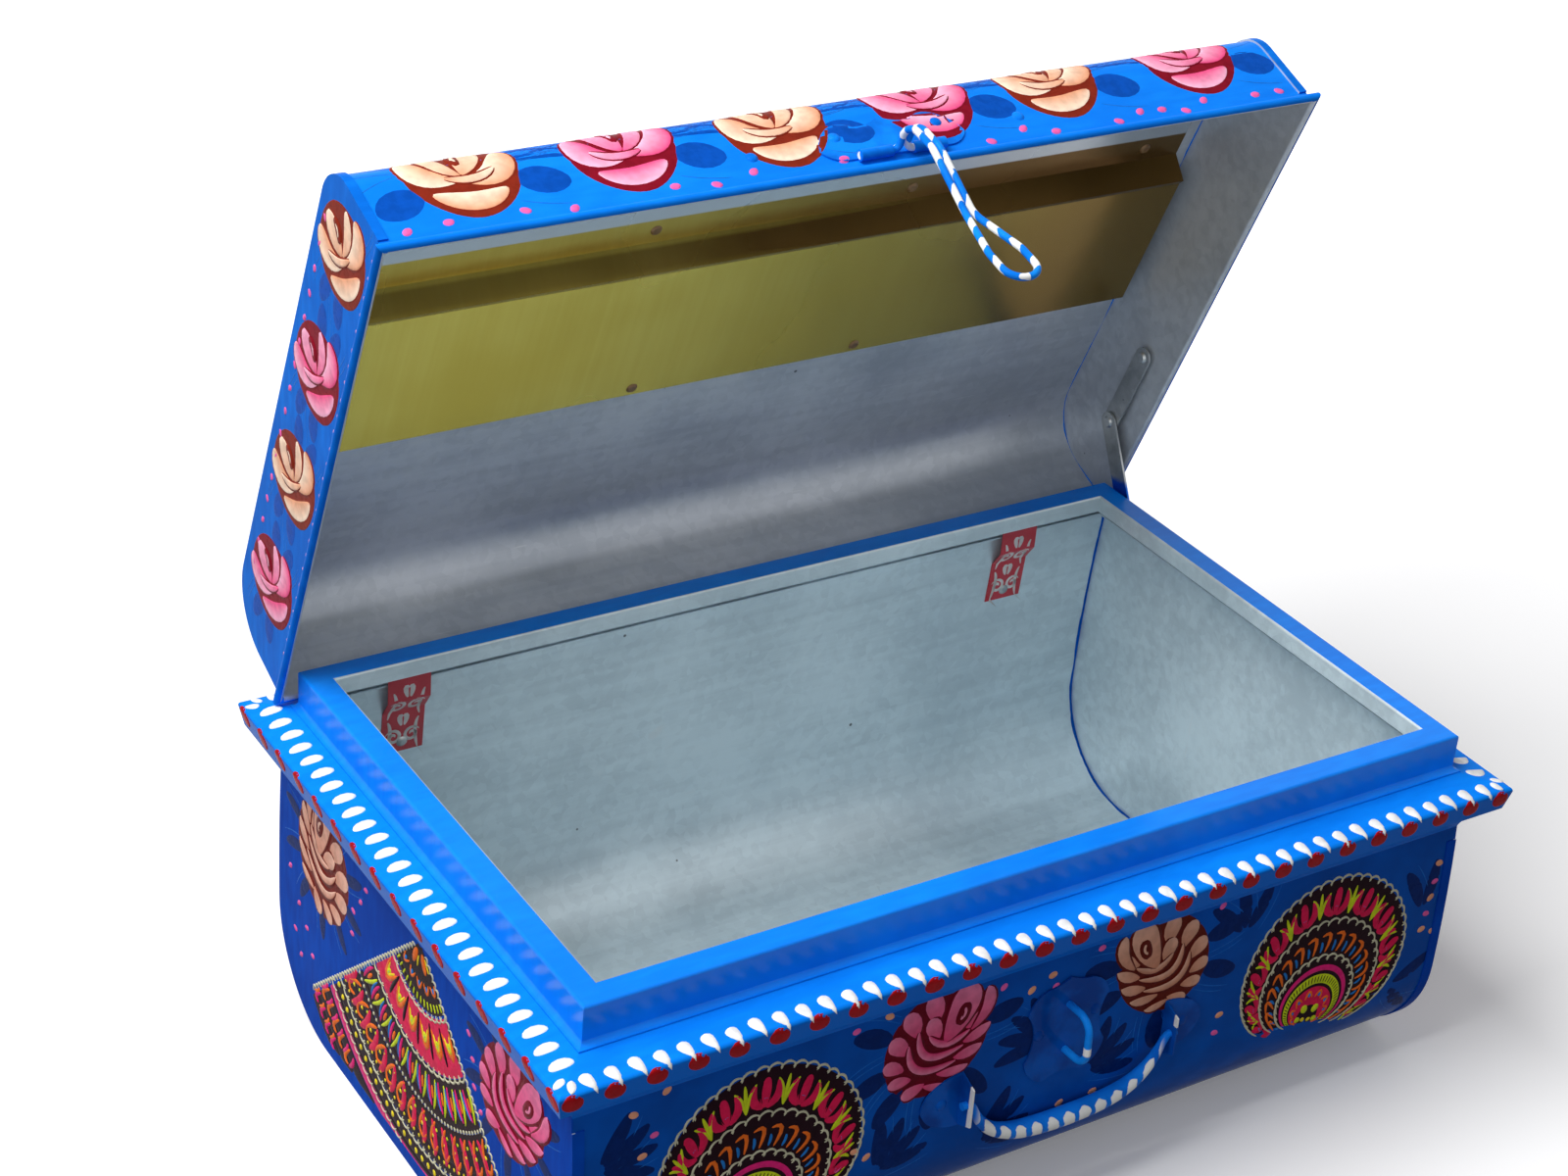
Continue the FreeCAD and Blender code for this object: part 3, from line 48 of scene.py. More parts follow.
# %% Camera
import bpy, math
import numpy as np
from mathutils import Matrix, Vector

photo_width = 1600                      # pixels across the photograph
focal_length = 3004.4                   # the lens, in the same pixels
camera_place = Vector((-0.62716, -0.84110, 0.81713))
heading, dip, roll = (math.radians(angle) for angle in (34.183, 29.700, 5.027))

lens = bpy.data.cameras.new("camera")
lens.sensor_width = 36.0
lens.lens = lens.sensor_width * focal_length / photo_width
camera = bpy.data.objects.new("camera", lens)
bpy.context.scene.collection.objects.link(camera)
aim = Matrix.Rotation(-heading, 4, "Z") @ Matrix.Rotation(math.pi / 2 - dip, 4, "X")
camera.matrix_world = Matrix.Translation(camera_place) @ aim @ Matrix.Rotation(roll, 4, "Z")
bpy.context.scene.camera = camera
print("lens %.1f mm" % lens.lens)

# %% [markdown]
# ## Node helpers
# A finish is a small graph of nodes. Wiring each node by hand fills pages, so `add` makes one node, sets or
# links its inputs in order and gives back an output. The rest are short names for the nodes used most.

# %% Helpers for any node
def add(tree, kind, *inputs, out=0, **settings):
    """A shader node: each input is linked if it is a socket, and set if it is a value."""
    node = tree.nodes.new("ShaderNode" + kind)
    for key, value in settings.items():
        setattr(node, key, value)
    for number, value in enumerate(inputs):
        if isinstance(value, bpy.types.NodeSocket):
            tree.links.new(value, node.inputs[number])
        elif value is not None:
            node.inputs[number].default_value = value
    return node.outputs[out]


def feed(node, socket, value):
    """Links an output to a named input of a node."""
    node.id_data.links.new(value, node.inputs[socket])


def new_finish(name, **even):
    """A material whose even settings stand on the Principled shader's own sockets."""
    finish = bpy.data.materials.new(name)
    finish.use_nodes = True
    shader = finish.node_tree.nodes["Principled BSDF"]
    for socket, value in even.items():
        shader.inputs[socket.replace("_", " ")].default_value = value
    return finish, finish.node_tree, shader


coated = set()


def coat(finish, *names):
    """Puts a finish on CAD nodes."""
    coated.update(names)
    for name in names:
        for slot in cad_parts[name].material_slots:
            slot.material = finish


# %% Helpers that calculate
def calc(tree, operation, a, b=None):
    return add(tree, "Math", a, b, operation=operation)


def plus(tree, first, *others):
    for value in others:
        first = calc(tree, "ADD", first, value)
    return first


def times(tree, a, b):
    return calc(tree, "MULTIPLY", a, b)


def apart(tree, a, b):
    """The distance between two numbers."""
    return calc(tree, "ABSOLUTE", calc(tree, "SUBTRACT", a, b))


def either(tree, a, b):
    """The larger of two shares, which is 1 where either of them is."""
    return calc(tree, "MAXIMUM", a, b)


def is_over(tree, value, limit):
    """1 where the value is over the limit, otherwise 0."""
    return calc(tree, "GREATER_THAN", value, limit)


def is_under(tree, value, limit):
    """1 where the value is under the limit, otherwise 0."""
    return calc(tree, "LESS_THAN", value, limit)


def step(tree, value, low, high, start=0.0, end=1.0):
    """Runs smoothly from start to end while the value goes from low to high."""
    node = tree.nodes.new("ShaderNodeMapRange")
    node.interpolation_type = "SMOOTHSTEP"
    tree.links.new(value, node.inputs[0])
    for number, amount in enumerate((low, high, start, end), start=1):
        node.inputs[number].default_value = amount
    return node.outputs[0]


def place_of(tree):
    """Object coordinates in metres, which ride along when a joint moves."""
    return add(tree, "TexCoord", out=3)


def normal_of(tree):
    """The way that a face looks, in the same axes."""
    return add(tree, "TexCoord", out=1)


def coordinate(tree, vector, letter):
    return add(tree, "SeparateXYZ", vector, out="xyz".index(letter))


def dot_product(tree, a, b):
    return add(tree, "VectorMath", a, b, operation="DOT_PRODUCT", out=1)


# %% Helpers for patterns and relief
def mixed(tree, share, a, b):
    """Colour a where share is 0, colour b where it is 1."""
    node = tree.nodes.new("ShaderNodeMix")
    node.data_type = "RGBA"
    for socket, value in ((node.inputs[0], share), (node.inputs[6], a), (node.inputs[7], b)):
        if isinstance(value, bpy.types.NodeSocket):
            tree.links.new(value, socket)
        else:
            socket.default_value = value if isinstance(value, float) else (*value, 1.0)
    return node.outputs[2]


def stretched(tree, where, scale):
    """The coordinates with each axis scaled, so that a pattern runs into streaks."""
    return add(tree, "VectorMath", where, scale, operation="MULTIPLY")


def cloud(tree, where, scale, detail=3.0, rough=0.5):
    """Perlin noise between 0 and 1."""
    node = tree.nodes.new("ShaderNodeTexNoise")
    tree.links.new(where, node.inputs["Vector"])
    node.inputs["Scale"].default_value = scale
    node.inputs["Detail"].default_value = detail
    node.inputs["Roughness"].default_value = rough
    return node.outputs["Fac"]


def cells(tree, where, scale, output):
    """Voronoi cells: a colour of its own for each cell, or the distance from the cell's point."""
    node = tree.nodes.new("ShaderNodeTexVoronoi")
    tree.links.new(where, node.inputs["Vector"])
    node.inputs["Scale"].default_value = scale
    return node.outputs[output]


def bumped(tree, shader, height, depth, strength=1.0):
    """Relief from a height map; depth is the height of 1 in metres."""
    node = tree.nodes.new("ShaderNodeBump")
    node.inputs["Strength"].default_value = strength
    node.inputs["Distance"].default_value = depth
    feed(node, "Height", height)
    feed(shader, "Normal", node.outputs[0])


# %% [markdown]
# ## Studio
# One large soft lamp above and behind the left end gives the bright tops and the dark front of the
# photograph. The world adds an even pale light. What the camera and a polished surface see is white, but the
# light that falls on the trunk stays plain. The floor takes the shadow and fades to white further out.

# %% World and floor
scene = bpy.context.scene
scene.view_settings.view_transform = "Standard"
ambient = 0.25                          # light from all round, against 1 for a white wall
floor_reach = 6.0                       # metres from the middle to the floor's edge


def seen_directly(tree):
    """1 for what the camera sees, straight, mirrored or through glass."""
    path = tree.nodes.new("ShaderNodeLightPath")
    straight_or_gloss = either(tree, path.outputs["Is Camera Ray"], path.outputs["Is Glossy Ray"])
    return either(tree, straight_or_gloss, path.outputs["Is Transmission Ray"])


world = bpy.data.worlds.new("studio")
scene.world = world
world.use_nodes = True
sky = world.node_tree
sky_light = (ambient, ambient, ambient * 1.04)
feed(sky.nodes["Background"], "Color", mixed(sky, seen_directly(sky), sky_light, (1.0, 1.0, 1.0)))

floor_finish, tree, shader = new_finish("pale floor", Roughness=0.9, Emission_Color=(1.0, 1.0, 1.0, 1.0))
seen = seen_directly(tree)
feed(shader, "Base Color", mixed(tree, seen, (0.18, 0.18, 0.19), (0.93, 0.93, 0.93)))
away = add(tree, "VectorMath", place_of(tree), operation="LENGTH", out=1)
feed(shader, "Emission Strength", times(tree, seen, step(tree, away, 0.15, 1.5, 0.12, 0.72)))
floor_mesh = bpy.data.meshes.new("floor")
corners = [(x * floor_reach, y * floor_reach, 0) for x, y in ((-1, -1), (1, -1), (1, 1), (-1, 1))]
floor_mesh.from_pydata(corners, [], [(0, 1, 2, 3)])
floor_mesh.materials.append(floor_finish)
floor = bpy.data.objects.new("floor", floor_mesh)
scene.collection.objects.link(floor)
print("floor %.0f m wide" % (2 * floor_reach))

# %% Lamps
lit_point = Vector((0.0, 0.0, 0.15))
for name, place, size, power in (
    ("overhead", Vector((-0.95, 0.12, 1.75)), 1.2, 42.0),
    ("front fill", Vector((-1.0, -1.1, 0.8)), 0.8, 3.0),
):
    lamp_data = bpy.data.lights.new(name, "AREA")
    lamp_data.size = size
    lamp_data.energy = power
    lamp = bpy.data.objects.new(name, lamp_data)
    towards = (lit_point - place).to_track_quat("-Z", "Y").to_matrix().to_4x4()
    lamp.matrix_world = Matrix.Translation(place) @ towards
    scene.collection.objects.link(lamp)
    print("%s lamp: %.0f W, %.1f m wide" % (name, power, size))

# %% [markdown]
# ## Enamel outside, bare steel inside
# Every folded sheet has two looks: brushed enamel on the face that shows outside, and galvanised steel on the
# other. The sheet is one solid, so a finish has to tell its sides apart. On a dished sheet the outer face
# looks away from the middle of the hollow and the inner face looks towards it, so the sign of
# normal · (place - middle) does it, with no painted mask.
#
# The enamel is thick and glossy, with brush drag and the shallow dents of thin sheet. The steel is dull zinc
# with long rolling marks, faint spangle, cloudy stains, scratches and a few specks.

# %% Looks of enamel and zinc
tilt = math.radians(68.5)               # the lid's angle from shut, as it stands
wire_radius = 0.00125                   # rim wire, whose back stretch is the hinge pin
wire_low, wire_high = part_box("lid_rim_wire")
hinge_y = wire_high.y - wire_radius
hinge_z = wire_low.z + wire_radius
print("hinge line at y %.5f, z %.5f" % (hinge_y, hinge_z))


def from_shut(u, v):
    """(y, z) of a point u in front of the hinge and v above it, lid shut, once the lid stands open."""
    y = hinge_y - u * math.cos(tilt) + v * math.sin(tilt)
    z = hinge_z + u * math.sin(tilt) + v * math.cos(tilt)
    return y, z


def outside_share(tree, middle):
    """1 on faces that look away from the middle, 0 on faces that look towards it."""
    outward = add(tree, "VectorMath", place_of(tree), middle, operation="SUBTRACT")
    return is_over(tree, dot_product(tree, outward, normal_of(tree)), 0.0)


def steel_look(tree, where, pale, dull):
    """Colour and roughness of zinc: rolling marks along X, spangle, stains, scratches and specks."""
    rolling = cloud(tree, stretched(tree, where, (3.0, 160.0, 160.0)), 1.0, 4.0, 0.6)
    stains = cloud(tree, where, 11.0, 4.0, 0.55)
    spangle = times(tree, add(tree, "SeparateColor", cells(tree, where, 260.0, "Color")), 0.10)
    tone = plus(tree, times(tree, rolling, 0.35), times(tree, stains, 0.75), spangle)
    colour = mixed(tree, step(tree, tone, 0.38, 0.80), dull, pale)
    scratch = cloud(tree, stretched(tree, where, (40.0, 900.0, 45.0)), 1.0, 1.0)
    drift = cloud(tree, where, 14.0, 2.0)
    scored = times(tree, step(tree, scratch, 0.71, 0.76), step(tree, drift, 0.50, 0.62))
    colour = mixed(tree, times(tree, scored, 0.35), colour, (0.75, 0.78, 0.80))
    speck = step(tree, cells(tree, where, 34.0, "Distance"), 0.022, 0.034, 1.0, 0.0)
    colour = mixed(tree, times(tree, speck, 0.8), colour, (0.03, 0.035, 0.045))
    return colour, step(tree, stains, 0.3, 0.7, 0.34, 0.50), rolling


def enamel_look(tree, where, colour, deep):
    """Colour and relief of brushed enamel: thin drag marks and slow changes of depth."""
    drag = cloud(tree, stretched(tree, where, (60.0, 260.0, 60.0)), 1.0, 3.0)
    pools = cloud(tree, where, 16.0, 3.0)
    share = plus(tree, times(tree, drag, 0.5), times(tree, pools, 0.6))
    return mixed(tree, step(tree, share, 0.40, 0.75), deep, colour), pools


# %% [markdown]
# ## Finishes of the folded sheets
# The paint doesn't stop quite where a sheet turns in. It ran a few millimetres into the seams inside, it
# covers the turned edges of the end sheets, and it never reached the lip inside the collar or the part of
# the ledge that the collar stands on. So each sheet adds its own limit to the rule of the last step.

# %% Sheet finishes
azure, deep_azure = (0.004, 0.250, 0.95), (0.003, 0.200, 0.84)
lid_blue = (0.005, 0.235, 0.92)
wall_blues = ((0.003, 0.096, 0.49), (0.003, 0.066, 0.35))
trunk_zinc = ((0.72, 0.83, 0.88), (0.53, 0.62, 0.67))
lid_zinc = ((0.62, 0.66, 0.71), (0.44, 0.48, 0.53))
trunk_middle = (0.0, 0.0, 0.155)
collar_middle = (0.0, 0.0, 0.12)
ledge_middle = (0.0, 0.0, 0.165)
lid_middle = (0.0, *from_shut(0.130, 0.022))
trunk_seam, lid_seam = 0.2147, 0.2158   # x at which paint has run into the seams inside
turned_edge = 0.2142                    # x under which an end sheet is only its turned edge, outside the wrap
collar_lip = (0.1988, 0.1133)           # x and y within which the collar is its bare inner lip
ledge_root = (0.2120, 0.1262)           # x and y within which the ledge lies under the collar


def sheet_finish(name, enamel, deep, middle, zinc=trunk_zinc, gloss=0.02,
                 seam=None, edge=None, bare=None, painted_shade=None):
    """Enamel where a sheet looks outward and zinc where it looks inward, with the sheet's own limits.
    Paint also covers |x| over seam and |x| under edge, and |x| and |y| both under the pair bare stay bare.
    Faces that don't look up take a darker blue instead, as painted shade."""
    finish, tree, shader = new_finish(name, IOR=1.5, Specular_IOR_Level=gloss)
    where = place_of(tree)
    x, y = (calc(tree, "ABSOLUTE", coordinate(tree, where, letter)) for letter in "xy")
    painted = outside_share(tree, middle)
    if bare is not None:
        beyond = either(tree, is_over(tree, x, bare[0]), is_over(tree, y, bare[1]))
        painted = times(tree, painted, beyond)
    if seam is not None:
        wander = times(tree, cloud(tree, where, 60.0, 3.0), 0.0026)
        painted = either(tree, painted, is_over(tree, plus(tree, x, wander), seam))
    if edge is not None:
        painted = either(tree, painted, is_under(tree, x, edge))
    steel, steel_rough, rolling = steel_look(tree, where, *zinc)
    paint, pools = enamel_look(tree, where, enamel, deep)
    # painted shade: faces that look sideways or down take the darker blue
    if painted_shade is not None:
        upward = coordinate(tree, normal_of(tree), "z")
        paint = mixed(tree, step(tree, upward, 0.05, 0.45, 1.0, 0.0), paint, painted_shade)
    unpainted = calc(tree, "SUBTRACT", 1.0, painted)
    paint_rough = step(tree, pools, 0.3, 0.7, 0.16, 0.26)
    rough = plus(tree, times(tree, painted, paint_rough), times(tree, unpainted, steel_rough))
    feed(shader, "Base Color", mixed(tree, painted, steel, paint))
    feed(shader, "Metallic", times(tree, unpainted, 0.40))
    feed(shader, "Roughness", rough)
    dents = cloud(tree, where, 22.0, 1.0)
    bumped(tree, shader, plus(tree, dents, times(tree, rolling, 0.03)), 0.0012, 0.5)
    return finish


trunk_sheet = sheet_finish("trunk sheet", *wall_blues, trunk_middle, gloss=0.01, seam=trunk_seam)
coat(trunk_sheet, "body_wrap")
trunk_end_blues = ((0.003, 0.078, 0.52), (0.003, 0.052, 0.39))
trunk_end = sheet_finish("trunk end sheet", *trunk_end_blues, trunk_middle, gloss=0.003, edge=turned_edge)
coat(trunk_end, "body_end_left", "body_end_right")
collar_sheet = sheet_finish("collar sheet", azure, deep_azure, collar_middle, gloss=0.12, bare=collar_lip)
coat(collar_sheet, "collar_front", "collar_back", "collar_left", "collar_right")
# faces of the ledge that don't look up, chiefly its fascia, take a darker blue: painted shade
ledge_sheet = sheet_finish(
    "ledge sheet", azure, deep_azure, ledge_middle, gloss=0.010, bare=ledge_root, painted_shade=(0.003, 0.150, 0.68))
coat(ledge_sheet, "ledge_front", "ledge_back", "ledge_left", "ledge_right")
lid_sheet = sheet_finish("lid sheet", lid_blue, (0.003, 0.185, 0.80), lid_middle, lid_zinc, seam=lid_seam)
coat(lid_sheet, "lid_wrap")
lid_end_blues = ((0.005, 0.185, 0.76), (0.003, 0.125, 0.58))
lid_end_sheet = sheet_finish("lid end sheet", *lid_end_blues, lid_middle, lid_zinc, gloss=0.006)
coat(lid_end_sheet, "lid_end_left", "lid_end_right")
print("folded sheets with a finish: %d" % len(coated))

# %% [markdown]
# ## Painted fittings
# Hasp, staple and handle were brushed with the same enamel after they were riveted on, so it lies thick and
# lumpy in their corners. Then the painter added white: dabs on the handle, bands round the hasp's wire, a
# line on the flaps and one dab on the staple. Each kind of white is a function of the place on the wire, so
# it turns with its piece.

# %% Painted fittings
fitting_blue, deep_fitting = (0.003, 0.100, 0.50), (0.003, 0.055, 0.32)


def thick_enamel(name, colour, deep, bands=None):
    """Glossy enamel laid on thick, with white where the function bands of tree and place gives 1."""
    finish, tree, shader = new_finish(name, Roughness=0.12, IOR=1.5, Specular_IOR_Level=0.018)
    where = place_of(tree)
    height = cloud(tree, where, 170.0, 3.0)
    paint = mixed(tree, step(tree, cloud(tree, where, 70.0), 0.35, 0.65), deep, colour)
    if bands is not None:
        band = bands(tree, where)
        paint = mixed(tree, band, paint, (0.86, 0.87, 0.84))
        height = plus(tree, height, times(tree, band, 0.8))
    feed(shader, "Base Color", paint)
    bumped(tree, shader, height, 0.0003, 0.6)
    return finish


def handle_bands(tree, where):
    """Fat dabs of white every 8 mm along the front of the bail, for 46 mm either side of its middle.
    A dab is where 0.9 sin(2 pi x / pitch), with a ragged x, plus the face's turn to the front is over 0.8."""
    pitch, bail_middle = 0.0080, 0.010
    front_and_down = (0.0, -0.85, -0.50)
    x = coordinate(tree, where, "x")
    ragged = times(tree, calc(tree, "SUBTRACT", cloud(tree, where, 210.0, 2.0), 0.5), 0.0030)
    wave = calc(tree, "SINE", times(tree, plus(tree, x, ragged), 2 * math.pi / pitch))
    facing = dot_product(tree, normal_of(tree), front_and_down)
    front = calc(tree, "MINIMUM", times(tree, facing, 3.2), 1.30)
    dab = step(tree, plus(tree, times(tree, wave, 0.9), front), 0.72, 0.95)
    return times(tree, dab, step(tree, apart(tree, x, bail_middle), 0.044, 0.048, 1.0, 0.0))


def staple_dab(tree, where):
    """One dab of white low on the staple, nearly 4 mm tall."""
    dab_height = 0.0865
    return step(tree, apart(tree, coordinate(tree, where, "z"), dab_height), 0.0015, 0.0022, 1.0, 0.0)


def flap_lines(tree, where):
    """A white line down the outer edge of the left flap, and a short one at the top of the right flap."""
    x, y, z = (coordinate(tree, where, letter) for letter in "xyz")
    outer_edge = step(tree, y, -0.1396, -0.1390, 1.0, 0.0)
    return times(tree, outer_edge, either(tree, is_under(tree, x, 0.0), is_over(tree, z, 0.076)))


def hasp_bands(tree, where):
    """Bands of white round the wire, every 12.5 mm of y + z once the place is turned upright.
    The right strand's bands sit 4 mm out of step with the left one's."""
    pitch, step_apart, between_strands = 0.0125, 0.0040, 0.009
    drawn_out = math.radians(7.2)       # how far the hasp stands out from where it lies when shut
    upright = tree.nodes.new("ShaderNodeMapping")
    upright.vector_type = "POINT"
    upright.inputs["Rotation"].default_value = (tilt + drawn_out, 0.0, 0.0)
    feed(upright, "Vector", where)
    y, z = (coordinate(tree, upright.outputs[0], letter) for letter in "yz")
    ragged = times(tree, cloud(tree, where, 200.0, 2.0), 0.005)
    strand = times(tree, is_over(tree, coordinate(tree, where, "x"), between_strands), step_apart)
    wave = calc(tree, "SINE", times(tree, plus(tree, y, z, ragged, strand), 2 * math.pi / pitch))
    return step(tree, wave, 0.10, 0.25)


fitting_enamel = thick_enamel("fitting enamel", fitting_blue, deep_fitting)
coat(fitting_enamel, "staple_plate", "staple_rivets", "handle_rivets")
flap_enamel = thick_enamel("flap enamel", fitting_blue, deep_fitting, flap_lines)
coat(flap_enamel, "handle_plate_left", "handle_plate_right")
coat(thick_enamel("staple enamel", (0.010, 0.30, 0.95), (0.005, 0.20, 0.80), staple_dab), "staple_wire")
lid_fitting = thick_enamel("lid fitting enamel", lid_blue, (0.003, 0.13, 0.60))
coat(lid_fitting, "hasp_plate", "lid_front_rivets", "lid_rim_wire")
coat(thick_enamel("bail enamel", (0.006, 0.21, 0.86), (0.003, 0.13, 0.64), handle_bands), "handle_bail")
coat(thick_enamel("hasp enamel", (0.008, 0.25, 0.88), (0.004, 0.17, 0.72), hasp_bands), "hasp_loop")
print("finished so far: %d CAD nodes" % len(coated))

# %% [markdown]
# ## The gold pocket
# The pocket in the lid is gold-lacquered tin with faint rolling marks, greener at the left and browner at the
# right, and painted shade darkens it towards the right. Its folded strip is darker, with painted shade in the
# fold, and along the front edge a bare margin shows. The heads of its rivets are brown, but their tails stick
# out through the lid's top and were painted over with it.

# %% Pocket and its rivets
gold, tree, shader = new_finish("gold lacquer", Metallic=0.70, IOR=1.5)
where = place_of(tree)
height = coordinate(tree, where, "z")
haze = cloud(tree, where, 9.0, 3.0)
brushed = cloud(tree, stretched(tree, where, (300.0, 6.0, 6.0)), 1.0, 2.0, 0.5)
share = plus(tree, times(tree, haze, 0.8), times(tree, brushed, 0.16))
lacquer = mixed(tree, step(tree, share, 0.32, 0.72), (0.60, 0.45, 0.055), (0.78, 0.64, 0.13))
# painted shade: the lacquer darkens to a near-black brown towards the right
rightward_shade = step(tree, coordinate(tree, where, "x"), -0.14, 0.20, 0.0, 0.86)
# the folded strip, the fold's painted shade and the bare margin each start at a height in metres, as the lid
# stands
strip = step(tree, height, 0.331, 0.336, 0.0, 0.34)
fold_shade = times(tree, step(tree, height, 0.3325, 0.3335), step(tree, height, 0.3415, 0.3430, 0.34, 0.0))
# the strip's own darker tone, plus the painted shade of the fold and of the right side
brown = calc(tree, "MINIMUM", plus(tree, rightward_shade, strip, fold_shade), 0.95)
lacquer = mixed(tree, brown, lacquer, (0.11, 0.045, 0.004))
margin = step(tree, height, 0.3552, 0.3560)
feed(shader, "Base Color", mixed(tree, margin, lacquer, (0.50, 0.55, 0.60)))
feed(shader, "Roughness", step(tree, haze, 0.3, 0.7, 0.20, 0.30))
bumped(tree, shader, cloud(tree, where, 26.0, 1.0), 0.0010, 0.4)
coat(gold, "lid_pocket")

lid_top = 0.0485                        # how far the lid's top lies from the hinge line, square to the top
square_to_top = (0.0, math.sin(tilt), math.cos(tilt))
rivet_brown, tree, shader = new_finish("brown rivets", Metallic=0.2, Roughness=0.4)
where = place_of(tree)
head = mixed(tree, cloud(tree, where, 300.0), (0.08, 0.035, 0.012), (0.28, 0.16, 0.055))
hinge_level = hinge_y * math.sin(tilt) + hinge_z * math.cos(tilt)
tail = is_over(tree, dot_product(tree, where, square_to_top), hinge_level + lid_top)
feed(shader, "Base Color", mixed(tree, tail, head, lid_blue))
coat(rivet_brown, "pocket_rivets")
print("the lid's top lies %.1f mm from the hinge line" % (lid_top * 1000))

# %% [markdown]
# ## Plain zinc and printed tin
# The stay's links are plain zinc. The lower link's foot was caught by the brush, and so were the rivet tails
# that stand outside the lid's end and the back wall. The two hinge straps are cut from printed tin.

# %% Links and straps
lid_end_face, back_face = 0.2160, 0.1298        # x and y past which a rivet is outside
zinc, tree, shader = new_finish("zinc links", Metallic=0.8)
where = place_of(tree)
x, y, z = (coordinate(tree, where, letter) for letter in "xyz")
colour, rough, rolling = steel_look(tree, where, (0.50, 0.53, 0.54), (0.30, 0.32, 0.33))
drips = times(tree, cloud(tree, where, 90.0), 0.010)
dipped = times(tree, step(tree, plus(tree, z, drips), 0.176, 0.180, 1.0, 0.0), is_over(tree, x, 0.205))
behind = times(tree, is_over(tree, y, back_face), is_under(tree, z, 0.15))
tail = either(tree, is_over(tree, x, lid_end_face), behind)
feed(shader, "Base Color", mixed(tree, either(tree, dipped, tail), colour, (0.003, 0.11, 0.52)))
feed(shader, "Roughness", rough)
bumped(tree, shader, rolling, 0.0002, 0.4)
coat(zinc, "stay_lower_link", "stay_upper_link", "stay_elbow_rivet")
coat(zinc, "stay_lower_rivet", "stay_upper_rivet", "strap_rivets")

tin, tree, shader = new_finish("printed tin", Roughness=0.32, IOR=1.5)
where = place_of(tree)
tin_red = mixed(tree, cloud(tree, where, 120.0), (0.42, 0.010, 0.020), (0.66, 0.022, 0.050))
feed(shader, "Base Color", tin_red)
bumped(tree, shader, cloud(tree, where, 90.0), 0.0004, 0.4)
coat(tin, "hinge_strap_left", "hinge_strap_right")
print("%d of %d CAD nodes have a finish" % (len(coated), len(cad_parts)))

# %% [markdown]
# ## How a brush stroke is built
# Truck painters lay petals, leaves and beads of thick enamel, each with one pull of a loaded brush. An image
# would show their colours but lie flat, so each stroke here is a thin domed skin of its own. It is a grid:
# the long way follows the line that the brush took, the short way goes from one side of the hairs to the
# other. The half width is given at the start, middle and end, and rounds off at both ends.
#
# A stroke is drawn in millimetres on a chart, s to the right and t up, as someone sees that side from
# outside. The chart is then folded onto the trunk, and a ray along its normal finds the sheet under every
# point, so the skin follows each bend. Its border dips just below the steel, so that no edge stands off.

# %% Strokes
finest = 2.0                            # mm between grid lines of a large stroke
layer_rise = 0.035                      # mm that each coat of paint adds
border_dip = 0.03                       # mm that a stroke's border lies below the steel
drawings = {}                           # side -> list of (grid of s and t, grid of colours, grid of heights)


def hairs(half):
    """Places across a stroke from -1 to 1: evenly over the middle nine tenths, and both edges."""
    inner = max(3, int(math.ceil(half / finest)) * 2 + 1)
    return np.concatenate([[-1.0], np.linspace(-0.9, 0.9, inner), [1.0]])


def spaced(count):
    """Shares from 0 to 1, (1 - cos) / 2 of even angles, so closer near both ends."""
    return (1 - np.cos(np.linspace(0, math.pi, count))) / 2


def blend(start, middle, end, t):
    """start (1 - t)^2 + middle 2 t (1 - t) + end t^2."""
    return start * (1 - t) ** 2 + middle * 2 * t * (1 - t) + end * t ** 2


def curve(points, count=9):
    """Points from the first to the last of three, drawn towards the middle one."""
    return blend(*(np.asarray(point, float) for point in points), spaced(count)[:, None])


def lay(side, grid, across, start, end=None, layer=1, raised=0.1, sideways=False):
    """Adds a grid of chart points to a side; colours run along it, or from side to side.
    Inside its border it lies at layer * layer_rise, and its middle is raised by raised (1 - across^2)."""
    along = np.linspace(0, 1, len(grid))[:, None] + 0 * across
    share = ((across + 1) / 2 + 0 * along if sideways else along)[..., None]
    colour = np.asarray(start) * (1 - share) + np.asarray(start if end is None else end) * share
    inner = (np.abs(across) < 1) & (along > 0) & (along < 1)
    height = inner * (border_dip + layer * layer_rise + raised * (1 - across ** 2)) - border_dip
    drawings.setdefault(side, []).append((grid, colour, height))


def stroke(side, line, width, start, end=None, blunt=2.4, **more):
    """One pull of the brush: half width (start, middle, end) in mm, times sqrt(1 - |2t - 1| ** blunt)."""
    if len(line) == 3:
        length = math.dist(line[0], line[1]) + math.dist(line[1], line[2])
        line = curve(line, max(9, int(length / finest)))
    t = spaced(len(line))
    widths = width if isinstance(width, tuple) else (width,) * 3
    across = hairs(max(widths))
    rounding = np.sqrt(np.maximum(1 - np.abs(2 * t - 1) ** blunt, 0))
    half = blend(*widths, t) * np.maximum(rounding, 0.06)
    run = np.gradient(line, axis=0)
    run = run / np.maximum(np.linalg.norm(run, axis=1, keepdims=True), 1e-9)
    left = np.stack([-run[:, 1], run[:, 0]], 1)
    grid = line[:, None] + left[:, None] * (half[:, None] * across)[..., None]
    lay(side, grid, across, start, end, **more)


def bead(side, centre, size, colour, lean=0.0, tall=1.0, raised=0.25, **more):
    """A round or oval bead of paint; tall is its length over its width, lean turns it clockwise."""
    along = np.array([math.sin(lean), math.cos(lean)]) * size * tall
    centre = np.asarray(centre, float)
    stroke(side, (centre - along, centre, centre + along), size, colour, blunt=2.0, raised=raised, **more)


